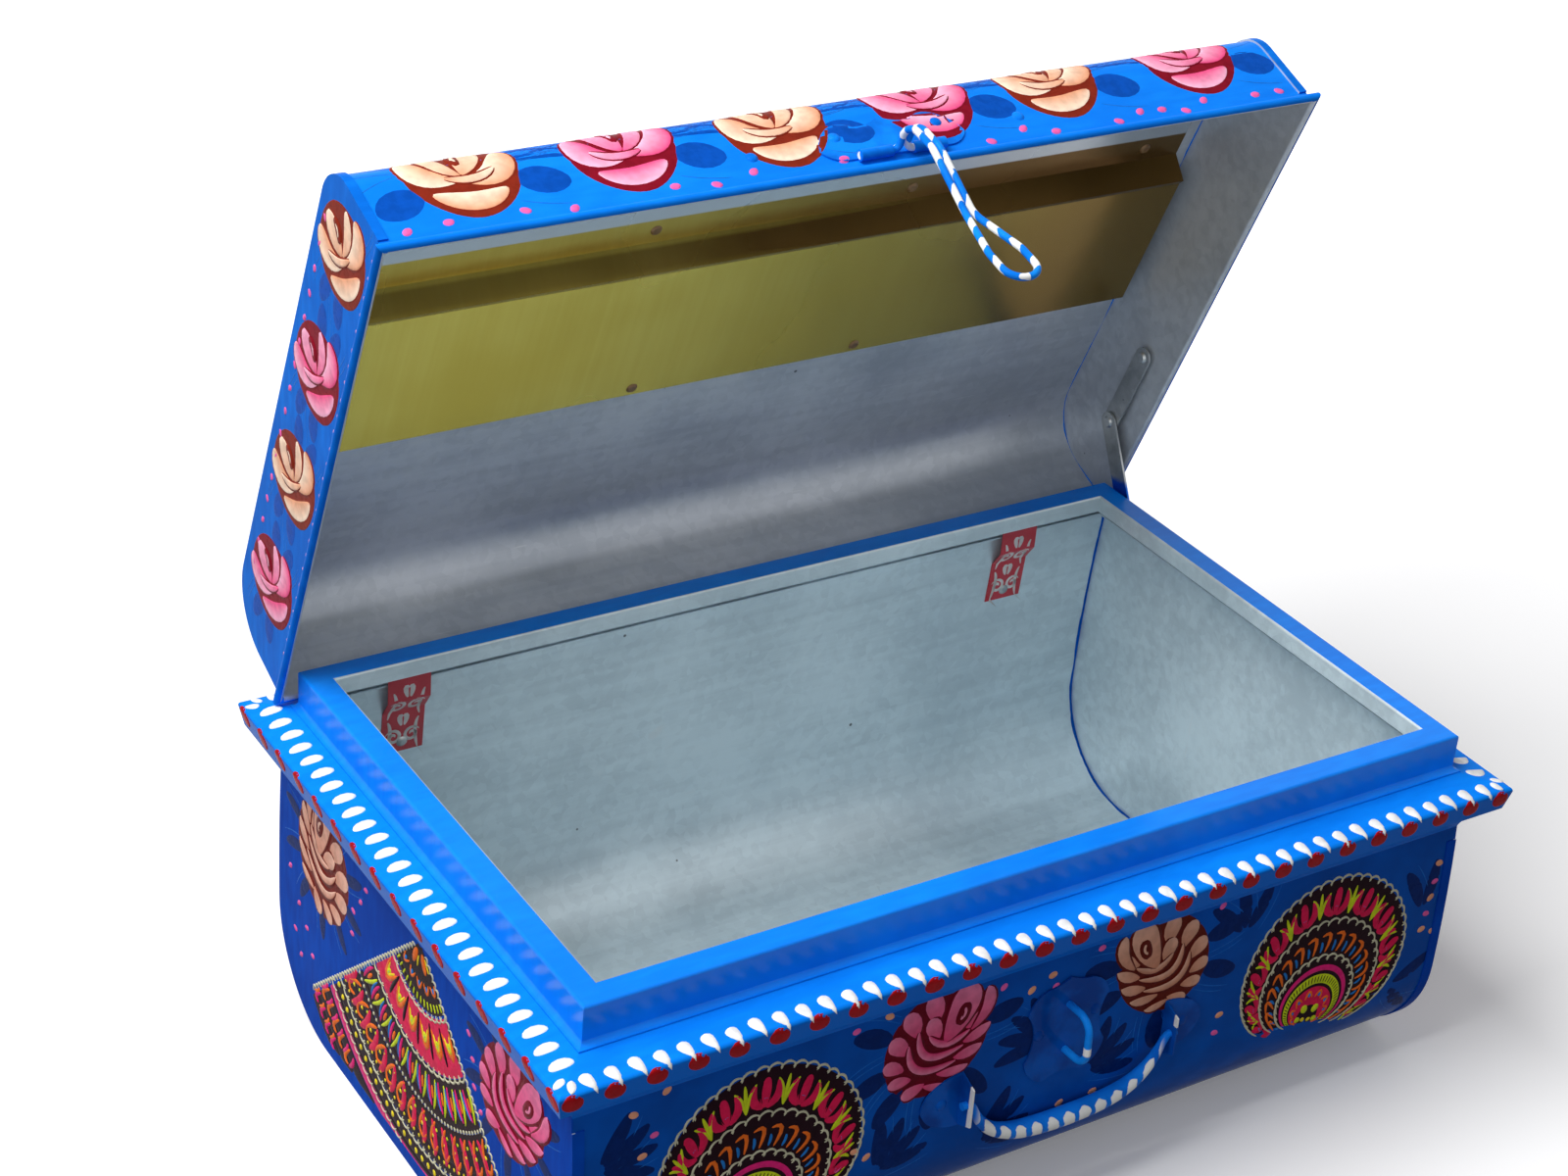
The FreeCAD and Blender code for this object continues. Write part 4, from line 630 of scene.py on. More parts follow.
def placed(centre, size=1.0, turn=0.0, flip=1):
    """A function that puts a motif's own points on the chart: flipped, scaled, turned clockwise, moved."""
    c, s = math.cos(turn), math.sin(turn)

    def put(points):
        points = np.asarray(points, float) * (flip * size, size)
        return points @ np.array([[c, -s], [s, c]]) + centre

    return put


print("a stroke 6 mm wide has %d lines across it" % len(hairs(3.0)))

# %% [markdown]
# ## Charts
# The same chart serves all four sides of the trunk: it is drawn for the front and turned by quarter turns.
# The walls bulge a little and roll under at the bottom. The ledge has a gently sloping top, a small rounded
# nose and a fascia. The lid's section runs up the face, round the bend and over the top. The lid is charted
# shut, then swung open about the hinge line, because its sizes are easiest to say that way.

# %% Charts of the trunk
quarter = {"front": 0, "right": 1, "back": 2, "left": 3}
half_of = {"front": 124.5, "back": 124.5, "left": 210.0, "right": 210.0}      # mm to the collar's outer faces
ledge_height = 150.8                    # mm up to the ledge where it comes out from under the collar
end_face = 215.5                        # mm from the middle to an end wall
wall_half = 133.0                       # mm from the middle to the widest part of the front wall


def turned(side, s, out, up):
    """World x, y, z of points s to the right and out from the middle of a side.
    Each quarter turn takes (x, y) to (-y, x)."""
    x, y = s, -out
    for _ in range(quarter[side]):
        x, y = -y, x
    return np.stack([x + 0 * up, y + 0 * up, up + 0 * x], -1)


def wall(side, s, t):
    """Points and normals of a wall: an end is flat, and the front and back follow two circles.
    Above the seam they bulge with the large radius, below it they roll under by length over roll_radius."""
    if side in ("left", "right"):
        return turned(side, s, end_face + 0 * s, t), turned(side, 0 * s, 1 + 0 * s, 0 * s)
    bulge, seam, roll_radius = 794.6, 50.6, 50.0
    rise = np.maximum(t - seam, 0)
    under = np.maximum(seam - t, 0) / roll_radius
    bulged = wall_half - bulge + np.sqrt(bulge ** 2 - rise ** 2)
    rolled = wall_half - roll_radius + roll_radius * np.cos(under)
    up = np.where(t >= seam, t, seam - roll_radius * np.sin(under))
    lean = rise / bulge - np.sin(under)
    points = turned(side, s, np.where(t >= seam, bulged, rolled), up)
    return points, turned(side, 0 * s, np.sqrt(1 - lean ** 2), lean)


def ledge(side, s, t):
    """Points and normals of the ledge: t outward over the top, round the nose, down the fascia.
    Top and fascia are straight, and between them the nose turns by length over its radius."""
    slope, nose, flat, whole_turn = math.radians(10.0), 1.9, 17.2, math.radians(94)
    turn = slope + np.clip((t - flat) / nose, 0, whole_turn)
    on_top = np.minimum(t, flat)
    below = np.maximum(t - flat - nose * whole_turn, 0)
    last = slope + whole_turn
    out = on_top * math.cos(slope) + nose * (np.sin(turn) - math.sin(slope)) + below * math.cos(last)
    drop = on_top * math.sin(slope) + nose * (math.cos(slope) - np.cos(turn)) + below * math.sin(last)
    points = turned(side, s, half_of[side] + out, ledge_height - drop)
    return points, turned(side, 0 * s, np.sin(turn), np.cos(turn))


# %% Charts of the lid
hinge = (hinge_y * 1000, hinge_z * 1000)
lid_end = 215.6                         # mm from the middle to a lid's end
lid_profiles = {"front": (129.6, 49.0, 16.0), "back": (128.5, 51.0, 27.0)}    # mm: face, height, bend


def opened(points, direction=False):
    """Turns points (or directions) of the shut lid by the tilt about the hinge line, to where it stands."""
    y0, z0 = (0.0, 0.0) if direction else hinge
    y, z = points[..., 1] - y0, points[..., 2] - z0
    c, s = math.cos(tilt), math.sin(tilt)
    return np.stack([points[..., 0], y0 + y * c + z * s, z0 - y * s + z * c], -1)


def lid(side, s, t):
    """Points and normals of the lid: t up from the rim, round the bend and in over the top.
    Face and top are straight, and between them the bend turns by length over its radius."""
    if side in ("left", "right"):
        points = turned(side, s, lid_end + 0 * s, hinge[1] + t)
        normals = turned(side, 0 * s, 1 + 0 * s, 0 * s)
    else:
        face, rise, bend = lid_profiles[side]
        turn = np.clip((t - (rise - bend)) / bend, 0, math.pi / 2)
        over = np.maximum(t - (rise - bend) - bend * math.pi / 2, 0)
        out = face - bend * (1 - np.cos(turn)) - over
        up = hinge[1] + np.minimum(t, rise - bend) + bend * np.sin(turn)
        points = turned(side, s, out, up)
        normals = turned(side, 0 * s, np.cos(turn), np.sin(turn))
    return opened(points), opened(normals, True)


charts = {}                             # drawing -> (chart, side, body that carries it, sheets under it)
for side in quarter:
    is_end = side in ("left", "right")
    charts["wall " + side] = (wall, side, "trunk", ["body_end_" + side if is_end else "body_wrap"])
    charts["ledge " + side] = (ledge, side, "trunk", ["ledge_" + side])
    charts["lid " + side] = (lid, side, "lid", ["lid_end_" + side if is_end else "lid_wrap"])
charts["lid front"][3].append("hasp_plate")
print("charts:", ", ".join(charts))

# %% [markdown]
# ## Roses
# A painter's rose starts as a maroon disc. The petals go over it with a brush that carries two colours, pale
# on one side and deep on the other, and the maroon left between them makes the shadows. The numbers are the
# pulls of the brush in shares of the rose's radius: start, pull, end, half width. The open rose of the walls
# has a heart at one side, rows of crescents below it and a rim of petals; the bud of the lid has a few fat
# petals. Each petal gets a dark edge of its own first, so that petals of one colour stay apart.

# %% Petals
# pale, mid and deep colour of each kind of rose; the wall kinds are darker, duller copies that paint in the
# shade of the ledge
tan = ((0.98, 0.80, 0.62), (0.80, 0.33, 0.17), (0.22, 0.022, 0.010))
pink = ((1.0, 0.52, 0.70), (0.86, 0.055, 0.22), (0.22, 0.006, 0.018))
end_tan = ((0.96, 0.60, 0.46), (0.72, 0.27, 0.17), (0.17, 0.016, 0.010))
end_pink = ((0.98, 0.27, 0.48), (0.84, 0.04, 0.20), (0.20, 0.004, 0.018))
shaded_tan = ((0.82, 0.47, 0.33), (0.56, 0.21, 0.12), (0.12, 0.012, 0.007))
shaded_pink = ((0.84, 0.25, 0.40), (0.66, 0.03, 0.14), (0.14, 0.004, 0.014))


def petal(side, put, radius, pull, widths, colours, layer, sideways=False):
    """One petal over its own dark edge."""
    pale, mid, deep = colours
    widths = tuple(radius * width for width in widths)
    edge = tuple(width + 0.035 * radius for width in widths)
    stroke(side, put(pull), edge, deep, blunt=3.4, layer=layer, raised=0.0)
    stroke(side, put(pull), widths, pale, mid, blunt=3.0, layer=layer + 0.5, raised=0.03, sideways=sideways)


# %% The open rose
rim_shares = [
    ((-0.30, 0.84), (-0.10, 0.66), (-0.10, 0.34), 0.20),
    ((-0.70, 0.56), (-0.48, 0.46), (-0.40, 0.16), 0.19),
    ((-0.90, 0.14), (-0.72, 0.10), (-0.50, -0.12), 0.18),
    ((-0.92, -0.30), (-0.76, -0.28), (-0.52, -0.40), 0.15),
    ((-0.76, -0.64), (-0.58, -0.58), (-0.34, -0.58), 0.13),
    ((-0.46, -0.88), (-0.30, -0.84), (-0.06, -0.70), 0.14),
    ((0.92, 0.58), (0.80, 0.36), (0.50, 0.18), 0.15),
    ((0.96, 0.22), (0.80, 0.04), (0.50, -0.06), 0.14),
    ((0.88, -0.14), (0.70, -0.28), (0.38, -0.32), 0.14),
    ((0.70, -0.48), (0.48, -0.60), (0.12, -0.56), 0.12),
    ((0.40, -0.78), (0.20, -0.84), (-0.10, -0.74), 0.10),
    ((-0.22, 0.44), (-0.08, 0.28), (0.00, 0.04), 0.17),
]
row_shares = [
    ((-0.52, 0.04), (-0.44, -0.70), (0.44, -0.36), 0.085),
    ((-0.38, 0.26), (-0.30, -0.50), (0.52, -0.10), 0.085),
    ((-0.18, 0.16), (0.14, -0.22), (0.58, 0.16), 0.080),
]
heart_shares = [
    ((0.78, 0.86), (0.98, 0.50), (0.60, 0.14), 0.13),
    ((0.46, 0.98), (0.40, 0.50), (0.14, 0.00), 0.31),
]


def open_rose(side, centre, radius, colours, turn=0.0, flip=1):
    """The wide-open rose of the walls."""
    pale, _, deep = colours
    put = placed(centre, radius, turn, flip)
    stroke(side, put([(-0.62, -0.76), (0.0, 0.0), (0.64, 0.80)]), radius * 0.94, deep, blunt=2.0, raised=0.0)
    layer = 1.5
    for *pull, half in rim_shares:
        layer += 0.5
        tip = 0.35 if pull[0][0] > 0 else 0.8
        petal(side, put, radius, pull, (half * tip, half * 1.2, half * 0.4), colours, layer)
    for *pull, half in row_shares:
        layer += 0.8
        petal(side, put, radius, pull, (half * 0.7, half, half * 0.7), colours, layer, sideways=True)
    for *pull, half in heart_shares:
        layer += 0.8
        petal(side, put, radius, pull, (half, half * 1.1, half * 0.4), colours, layer)
    stroke(side, put([(0.42, 0.66), (0.42, 0.48), (0.32, 0.26)]), radius * 0.135, deep, layer=layer + 1)
    stroke(side, put([(0.40, 0.57), (0.44, 0.46), (0.35, 0.35)]), radius * 0.065, pale, layer=layer + 2)
    stroke(side, put([(0.38, 0.52), (0.40, 0.46), (0.37, 0.40)]), radius * 0.018, deep, layer=layer + 3)


print("petals in an open rose: %d" % len(rim_shares + row_shares + heart_shares))

# %% The bud
bud_shares = [
    ((-0.64, -0.42), (-0.04, -0.84), (0.66, -0.36), (0.14, 0.30, 0.16)),
    ((-0.80, 0.52), (-0.86, -0.22), (0.02, -0.16), (0.24, 0.36, 0.12)),
    ((0.74, 0.68), (1.04, -0.06), (0.04, -0.12), (0.20, 0.36, 0.10)),
    ((-0.40, 0.82), (-0.22, 0.36), (0.00, -0.02), (0.20, 0.38, 0.10)),
    ((0.42, 0.84), (0.48, 0.24), (0.02, -0.02), (0.14, 0.22, 0.06)),
    ((-0.60, 0.06), (-0.20, -0.26), (0.34, -0.04), (0.06, 0.11, 0.06)),
]


def bud(side, centre, radius, colours, turn=0.0, flip=1):
    """The closed rose of the lid, a little wider than it is tall."""
    pale, _, deep = colours
    put = placed(centre, radius, turn, flip)
    disc = put([(0.10, -0.98), (-0.04, 0.0), (0.0, 1.0)])
    widths = (radius * 0.84, radius * 1.16, radius * 0.9)
    stroke(side, disc, widths, deep, blunt=2.0, raised=0.0, layer=3)
    for number, (*pull, widths) in enumerate(bud_shares):
        petal(side, put, radius, pull, widths, colours, 4 + number * 0.8, sideways=number < 3)
    stroke(side, put([(-0.16, 0.68), (0.06, 0.48), (-0.04, 0.20)]), radius * 0.12, deep, layer=10)
    stroke(side, put([(-0.10, 0.58), (0.01, 0.47), (-0.05, 0.32)]), radius * 0.05, pale, layer=11)


print("petals in a bud: %d" % len(bud_shares))

# %% [markdown]
# ## Leaves, streaks and dots
# Behind the roses the painter spreads leaves of a deeper blue like the fingers of a hand, drags a few thin
# streaks, and scatters pairs of pink dots.

# %% Leaves and dots
leaf_blue = (0.002, 0.020, 0.135)
lid_leaf = (0.003, 0.075, 0.43)
streak_blue, streak_half = (0.010, 0.14, 0.56), 0.28
dot_pink = (0.86, 0.13, 0.40)
dot_tan = (0.86, 0.38, 0.22)


def leaves(side, centre, angles, near, far, half, colour, streaks=1):
    """Leaves that spread from a point, from near to far, at the angles given clockwise from up."""
    centre = np.asarray(centre, float)
    for angle in np.radians(angles):
        way = np.array([math.sin(angle), math.cos(angle)])
        beside = np.array([way[1], -way[0]])
        start, end = centre + way * near, centre + way * far
        middle = centre + way * (near + far) / 2 + beside * (far - near) * 0.10
        widths = (half * 0.7, half * 1.15, half * 0.7)
        stroke(side, (start, middle, end), widths, colour, layer=0, raised=0.04)
        for number in range(streaks):
            gap = beside * half * (1.5 + 0.5 * number)
            tip = centre + way * (far - 2 * number) + gap
            stroke(side, (start + gap, middle + gap, tip), streak_half, streak_blue, layer=0, raised=0.03)


def hand(side, centre, middle_angle, count=5, spread=76, length=26):
    """A few leaves that spread evenly about an angle, like fingers."""
    angles = np.linspace(middle_angle - spread / 2, middle_angle + spread / 2, count)
    leaves(side, centre, angles, 3, length, 4.0, leaf_blue)


def dots(side, places, colour, size=1.35):
    """Small oval dots, each leaning another way than the last."""
    for number, place in enumerate(places):
        bead(side, place, size, colour, lean=0.9 + 0.5 * (number % 3), tall=1.35, layer=2)


# %% [markdown]
# ## Fans
# The showpiece of the style is a fan: nested arcs filled with hooks, tulips, combs and loops on black, edged
# with curls of cream. It is drawn in polar form. A point is given by its angle from the fan's axis and its
# level; round fans shrink their levels towards the sides by 1 - squash (1 - cos angle), which makes the
# scallop shape, and the great fan of the ends is a plain sector that hangs from the ledge and is cut off
# where the wall ends.

# %% Rows and bands of a fan
cream, lime, orange = (0.62, 0.60, 0.42), (0.62, 0.74, 0.02), (0.90, 0.17, 0.02)
crimson, magenta, black = (0.74, 0.015, 0.085), (0.80, 0.02, 0.20), (0.016, 0.004, 0.008)
bright_blue, yellow = (0.02, 0.20, 0.62), (0.90, 0.72, 0.03)
# a pull of the brush is (start, pull, end, half width, colour), in mm about the middle of a row
curl = [
    ((-3.2, -0.8), (-0.4, 3.2), (2.7, 1.0), 0.58, cream),
    ((1.6, 1.6), (4.4, 0.6), (2.9, -1.4), 0.45, cream),
]


class Fan:
    """Draws rows of small strokes at levels of a fan."""

    def __init__(self, side, apex, axis, spread, squash=0.0, lowest=None):
        self.side, self.apex, self.axis, self.spread = side, np.asarray(apex, float), axis, spread
        self.squash, self.lowest = squash, lowest

    def at(self, angle, level):
        """Chart points: apex + level (1 - squash (1 - cos angle)) (sin, cos) of the angle and the axis."""
        level = level * (1 - self.squash * (1 - np.cos(angle)))
        turn = angle + self.axis
        return self.apex + np.stack([np.sin(turn) * level, np.cos(turn) * level], -1)

    def kept(self, line):
        """Whether a line stays above the lowest one."""
        return self.lowest is None or line[..., 1].min() > self.lowest

    def band(self, low, high, colour, layer=1):
        """An arc of even colour between two levels, cut off along the lowest line where the fan has one."""
        angles = np.linspace(-self.spread, self.spread, 41)
        across = hairs((high - low) / 4)
        top = np.full(len(angles), float(high))
        if self.lowest is not None:
            top = np.minimum(top, (self.apex[1] - self.lowest) / np.cos(angles))
        good = top > low + 0.2
        whole = self.at(angles[:, None], low + (top[:, None] - low) * (across + 1) / 2)
        start = 0
        while start < len(good):
            stop = start
            while stop < len(good) and good[stop]:
                stop += 1
            if stop - start > 1:
                lay(self.side, whole[start:stop], across, colour, layer=layer, raised=0.02)
            start = stop + 1

    def row(self, level, pitch, pulls, scale=1.0, layer=3, raised=0.22, inset=0.5):
        """Repeats the pulls along an arc, every pitch mm; inset moves the row by a share of the pitch."""
        count = max(int(round(2 * self.spread * level / pitch)), 1)
        for angle in -self.spread + 2 * self.spread * (np.arange(count) + inset) / count:
            shrink = 1 - self.squash * (1 - math.cos(angle))
            for start, pull, end, half, colour in pulls:
                points = np.array([start, pull, end], float) * scale
                line = curve(self.at(angle + points[:, 0] / (level * shrink), level + points[:, 1]))
                if self.kept(line):
                    width = half * scale * (0.55 + 0.45 * shrink)
                    stroke(self.side, line, width, colour, layer=layer, raised=raised)

    def curls(self, level, pitch=5.2, size=1.0):
        """The cream edge: overlapping curls."""
        self.row(level, pitch, curl, size, layer=4)


# %% The round fan
hook = [
    ((-2.6, 3.2), (4.4, 7.6), (0.6, -5.4), 1.0, orange),
    ((-2.2, 0.6), (-1.2, -1.4), (-2.2, -4.8), 0.72, bright_blue),
]
tulip = [
    ((0.0, -6.4), (0.0, 0.0), (0.0, 7.0), 2.6, crimson),
    ((-0.6, -6.4), (-8.6, -2.4), (-4.6, 5.2), 2.0, crimson),
    ((0.6, -6.4), (8.6, -2.4), (4.6, 5.2), 2.0, crimson),
    ((-1.2, -4.6), (-3.2, 0.6), (-1.6, 5.4), 0.4, black),
    ((1.2, -4.6), (3.2, 0.6), (1.6, 5.4), 0.4, black),
    ((-0.8, -2.2), (0.0, -1.6), (0.8, -2.2), 1.5, bright_blue),
]
blades = [
    ((0.0, -6.6), (-0.8, 1.0), (-4.4, 5.8), 0.95, lime),
    ((0.0, -6.6), (0.3, 0.0), (0.0, 7.0), 0.95, lime),
    ((0.0, -6.6), (1.0, 1.0), (4.6, 5.6), 0.95, lime),
]
eye = [
    ((-2.2, -2.0), (0.0, 5.6), (2.2, -2.0), 0.75, orange),
    ((0.0, -1.2), (0.3, 0.0), (0.0, 1.0), 0.9, bright_blue),
]


def spot(half_length, half_width, colour, pull=0.0):
    """One short upright pull of the brush."""
    return [((0, -half_length), (pull, 0), (0, half_length), half_width, colour)]


def round_fan(side, apex, height, axis):
    """The scallop-shaped fan of the front, drawn 72 mm high and scaled to its height."""
    fan = Fan(side, apex, axis, math.radians(93), 0.56)
    k = height / 72
    for level in range(1, 70, 10):
        fan.band(level * k, (level + 10.6) * k, black)
    fan.band(9 * k, 19 * k, crimson, 2)
    fan.band(20 * k, 25 * k, lime, 2)
    fan.band(26.5 * k, 29.5 * k, magenta, 2)
    fan.row(22.5 * k, 1.75 * k, spot(1.7, 0.28, black), k, raised=0.05)
    fan.row(15 * k, 5.8 * k, eye, k)
    fan.row(8.5 * k, 6.4 * k, [((0, -2.4), (0.3, 0), (0, 2.2), 1.9, lime)], k)
    fan.row(3.0 * k, 5.0 * k, spot(1.4, 1.2, yellow, 0.3), k, layer=4)
    fan.curls(33 * k, 5.4 * k, k)
    fan.row(41 * k, 7.4 * k, hook, k)
    fan.curls(50.5 * k, 5.8 * k, k)
    fan.row(60.5 * k, 18.0 * k, blades, k, inset=0.75)
    fan.row(60.5 * k, 18.0 * k, tulip, k, inset=0.25)
    fan.curls(71 * k, 5.8 * k, k)


# %% The great fan
seed = [((0, -4), (1, 0), (0, 5), 1.9, orange), ((-2.6, -2), (-2, 1), (-2.4, 4), 0.6, yellow)]
flame = [
    ((-5.0, -7), (-1, 16), (5.0, -7), 1.5, orange),
    ((-3.0, -5), (0, 9), (3.0, -5), 1.0, yellow),
    ((0, -2.4), (0.5, 0), (0, 2.2), 1.5, lime),
    ((0, -0.6), (0.2, 0), (0, 0.6), 0.8, bright_blue),
]
plume = [
    ((0, 8), (-3.6, 0), (-3.4, -7), 1.0, lime),
    ((1.2, 7), (3.8, 1), (2.2, -7), 1.0, magenta),
    ((2.6, 6), (5.6, 1), (4.6, -6), 0.7, bright_blue),
    ((0, -3.0), (0.2, 0), (0, 3.0), 1.0, orange),
]
loop = [
    ((-3.8, 3), (0.6, 10.5), (3.0, 2), 1.15, orange),
    ((3.0, 3.5), (1.8, -3), (-2.8, -7.5), 1.15, orange),
    ((-0.4, -0.6), (0, 0), (0.4, 0.8), 1.1, yellow),
    ((-3.8, -4.6), (-3.4, -4), (-3.4, -3.2), 0.9, lime),
]
outer_hook = [
    ((-3.2, 3.5), (3.6, 7), (0, -5), 1.4, orange),
    ((3.2, 3.6), (0.4, -1), (3.2, -5), 1.4, magenta),
]
last_hook = [
    ((-3.0, 2.5), (3.0, 5.5), (0, -4), 1.35, magenta),
    ((3.0, 2.4), (0.2, -1), (2.8, -4), 1.2, orange),
]
grounds = (
    (2, 30, black), (31, 55, crimson), (55, 77, black), (77, 100, black), (100, 111, black),
    (111, 117, magenta), (117, 142, black),
)


def great_fan(side, apex):
    """The sector that hangs from the ledge on each end."""
    fan = Fan(side, apex, math.pi, math.radians(47.5), lowest=6.5)
    for low, high, colour in grounds:
        for start in np.arange(low, high, 8.0):
            fan.band(start, min(start + 8.4, high), colour)
    fan.row(9, 6.0, seed)
    fan.row(20, 6.6, eye, 1.15)
    fan.row(27, 3.2, spot(1.8, 0.55, lime))
    fan.curls(31, 4.2, 0.9)
    fan.row(43, 12.0, flame)
    fan.row(42, 12.0, [((0, 8.5), (1, 3), (0, -8), 1.2, black)], inset=0.0)
    fan.curls(55, 5.0)
    fan.row(66, 9.0, plume)
    fan.row(76.5, 3.0, spot(0.9, 0.85, cream, 0.1))
    fan.row(88, 10.0, [((4.4, 8.8), (0.4, 2), (4.6, -8.8), 2.1, crimson)], layer=2)
    fan.row(87, 10.0, loop)
    fan.row(95.5, 4.6, spot(0.8, 0.8, yellow, 0.1))
    fan.curls(99.5, 5.0)
    fan.row(105.5, 5.6, spot(1.4, 1.35, yellow, 0.2))
    fan.curls(111, 4.8, 0.8)
    fan.row(124, 7.0, outer_hook)
    fan.row(135, 7.0, last_hook)
    for turn in (-1, 1):
        for level in np.arange(8.0, 140.0, 3.3):
            angles = turn * (fan.spread + np.array([-0.9, 3.6, -0.9]) / level)
            points = fan.at(angles, level + np.array([-1.9, 0.0, 1.9]))
            if fan.kept(points):
                stroke(side, points, 0.5, cream, layer=5, raised=0.25)


# %% [markdown]
# ## Painting the walls
# The front carries two roses with a round fan outside each of them. Each end carries two roses with the great
# fan between. The back, which the photograph hides, gets roses, leaves and dots only, as such trunks stand
# against a wall.

# %% The front wall
front = "wall front"
front_roses = (((-55, 102), (-110, -70, -140, 180, 140, 80)), ((57.5, 103), (-80, -110, 180, 150, 110, 75)))
front_hands = (
    ((-196, 62), -20, 5), ((-205, 96), 70, 4), ((-80, 48), 40, 4), ((0, 84), -60, 4), ((22, 62), 60, 4),
    ((100, 104), -10, 3), ((202, 84), 10, 3), ((-30, 46), 70, 4), ((190, 48), 100, 3),
)
tan_dots = (
    (-10, 112), (0, 116), (-78, 122), (11, 49), (28, 49), (-90, 62), (-84, 57), (-186, 96), (-190, 116),
    (-176, 122), (92, 66), (208, 107), (206, 90), (204, 74), (211, 71), (218, 68),
)
pink_dots = (
    (2, 110), (-93, 120), (42, 48), (-97, 56), (-181, 104), (91, 57), (86, 122), (207, 98), (205, 82),
    (-24, 118), (24, 121),
)
for centre, angles in front_roses:
    leaves(front, centre, angles, 22, 42, 5.4, leaf_blue, streaks=2)
for centre, middle_angle, count in front_hands:
    hand(front, centre, middle_angle, count)
# the front's roses take the darker wall kinds: painted shade under the ledge
open_rose(front, front_roses[0][0], 26, shaded_pink, turn=0.15)
open_rose(front, front_roses[1][0], 25, shaded_tan, turn=-0.10, flip=-1)
round_fan(front, (-138, 44), 74, math.radians(9))
round_fan(front, (143, 44), 73, math.radians(11))
dots(front, tan_dots, dot_tan, 1.6)
dots(front, pink_dots, dot_pink, 1.4)
print("strokes on the front wall: %d" % len(drawings[front]))

# %% The end walls and the back
end_dots = (
    (-112, 60), (-104, 52), (-116, 44), (-110, 34), (-98, 41), (-57, 92), (-50, 101), (-45, 110), (54, 82),
    (60, 74), (52, 94), (48, 104), (88, 60), (98, 56), (108, 62), (102, 44), (112, 48), (118, 72), (-121, 74),
    (-58, 80),
)
for end, flip in (("left", 1), ("right", -1)):
    # on the left end s is -y; the right end is painted as its mirror image
    side = "wall " + end
    back_rose, front_rose = (-87 * flip, 97), (84 * flip, 96)
    for centre in (back_rose, front_rose):
        leaves(side, centre, range(0, 360, 36), 20, 40, 3.6, leaf_blue)
    open_rose(side, back_rose, 28, end_tan, turn=0.55 * flip, flip=-flip)
    open_rose(side, front_rose, 27, end_pink, turn=0.35 * flip, flip=flip)
    great_fan(side, (5 * flip, 118))
    dots(side, [(s * flip, t) for s, t in end_dots], dot_pink, 1.3)

back = "wall back"
# the back's roses take the darker wall kinds too: painted shade under the ledge
for s, kind, flip in ((-128, shaded_pink, 1), (0, shaded_tan, -1), (128, shaded_pink, -1)):
    leaves(back, (s, 86), range(0, 360, 45), 24, 48, 5.0, leaf_blue)
    open_rose(back, (s, 86), 28, kind, flip=flip)
for s in (-64, 64):
    hand(back, (s, 60), 0, count=7, spread=120, length=30)
    dots(back, [(s + x, 112 - abs(x) * 0.4) for x in (-24, -16, -8, 0, 8, 16, 24)], dot_pink)
print("strokes on the left end wall: %d, on the back: %d" % (len(drawings["wall left"]), len(drawings[back])))

# %% [markdown]
# ## Painting the ledge
# White dabs run all round. On the front and back, teardrops start on the flat and hang their tips over the
# nose. On the ends, fat beans lie across the flat. Maroon ovals follow on the fascia below.

# %% Ledge
white, maroon = (0.88, 0.88, 0.86), (0.42, 0.008, 0.012)
dab_pitch, oval_pitch = 9.7, 16.3
for side in quarter:
    name = "ledge " + side
    long_side = side in ("front", "back")
    collar_end = half_of["left" if long_side else "front"]
    last = collar_end + (5.0 if long_side else 4.0)
    for number, s in enumerate(np.linspace(-last, last, int(2 * last / dab_pitch))):
        wave = math.sin(number * 2.4) * 0.5
        teardrop = ((s - 1.2, 11.8 + wave), (s - 0.6, 14.6), (s + 1.7, 21.0 + wave))
        bean = ((s + 1.4, 6.0 + wave), (s - 2.4, 10.4), (s + 0.6, 15.4 + wave))
        widths = (3.4, 3.1, 0.3) if long_side else (2.7, 2.9, 2.5)
        stroke(name, teardrop if long_side else bean, widths, white, layer=2, raised=0.5)
    for flip in (-1, 1):
        s = flip * (last + (7.6 if long_side else 8.4))
        corner_dab = ((s - 1.6 * flip, 13.0), (s - 0.8 * flip, 15.5), (s + 1.0 * flip, 18.4))
        stroke(name, corner_dab, (1.7, 2.0, 1.2), white, layer=2, raised=0.45)
    last = collar_end + 13.0
    for number, s in enumerate(np.linspace(-last, last, int(2 * last / oval_pitch))):
        bead(name, (s, 22.9 + 0.3 * math.sin(number * 1.7)), 4.1, maroon, lean=0.9, tall=1.2)
print("strokes on the front ledge: %d" % len(drawings["ledge front"]))

# %% [markdown]
# ## Painting the lid
# Six buds wrap over the lid's front edge, tan and pink by turns, with leaves between and a line of pink dots
# along the rim. Four more climb each end. The top carries three roses with a fan between each two, and the
# back a row of buds.

# %% The lid's front and ends
front = "lid front"
front_buds = ((-171, 31), (-104, 31), (-36.5, 31), (33.5, 33), (97.5, 34), (171, 35))
rim_dots = (-203, -186, -155, -136, -92, -75, -57, -17, 52, 70, 84, 116, 129, 140, 151, 163, 190, 203)
for number, place in enumerate(front_buds):
    broad_leaves = (104, -112) if number == 0 else (104,)
    leaves(front, place, broad_leaves, 20, 42, 8.5, lid_leaf)
    leaves(front, place, (-86, -76, -66, 66, 76), 20, 46, 1.5, lid_leaf, streaks=2)
    bud(front, place, 23, (tan, pink)[number % 2], flip=1 if number % 3 else -1)
dots(front, [(s, 7.5 + 2.2 * math.sin(s * 0.2)) for s in rim_dots], dot_pink, 1.7)

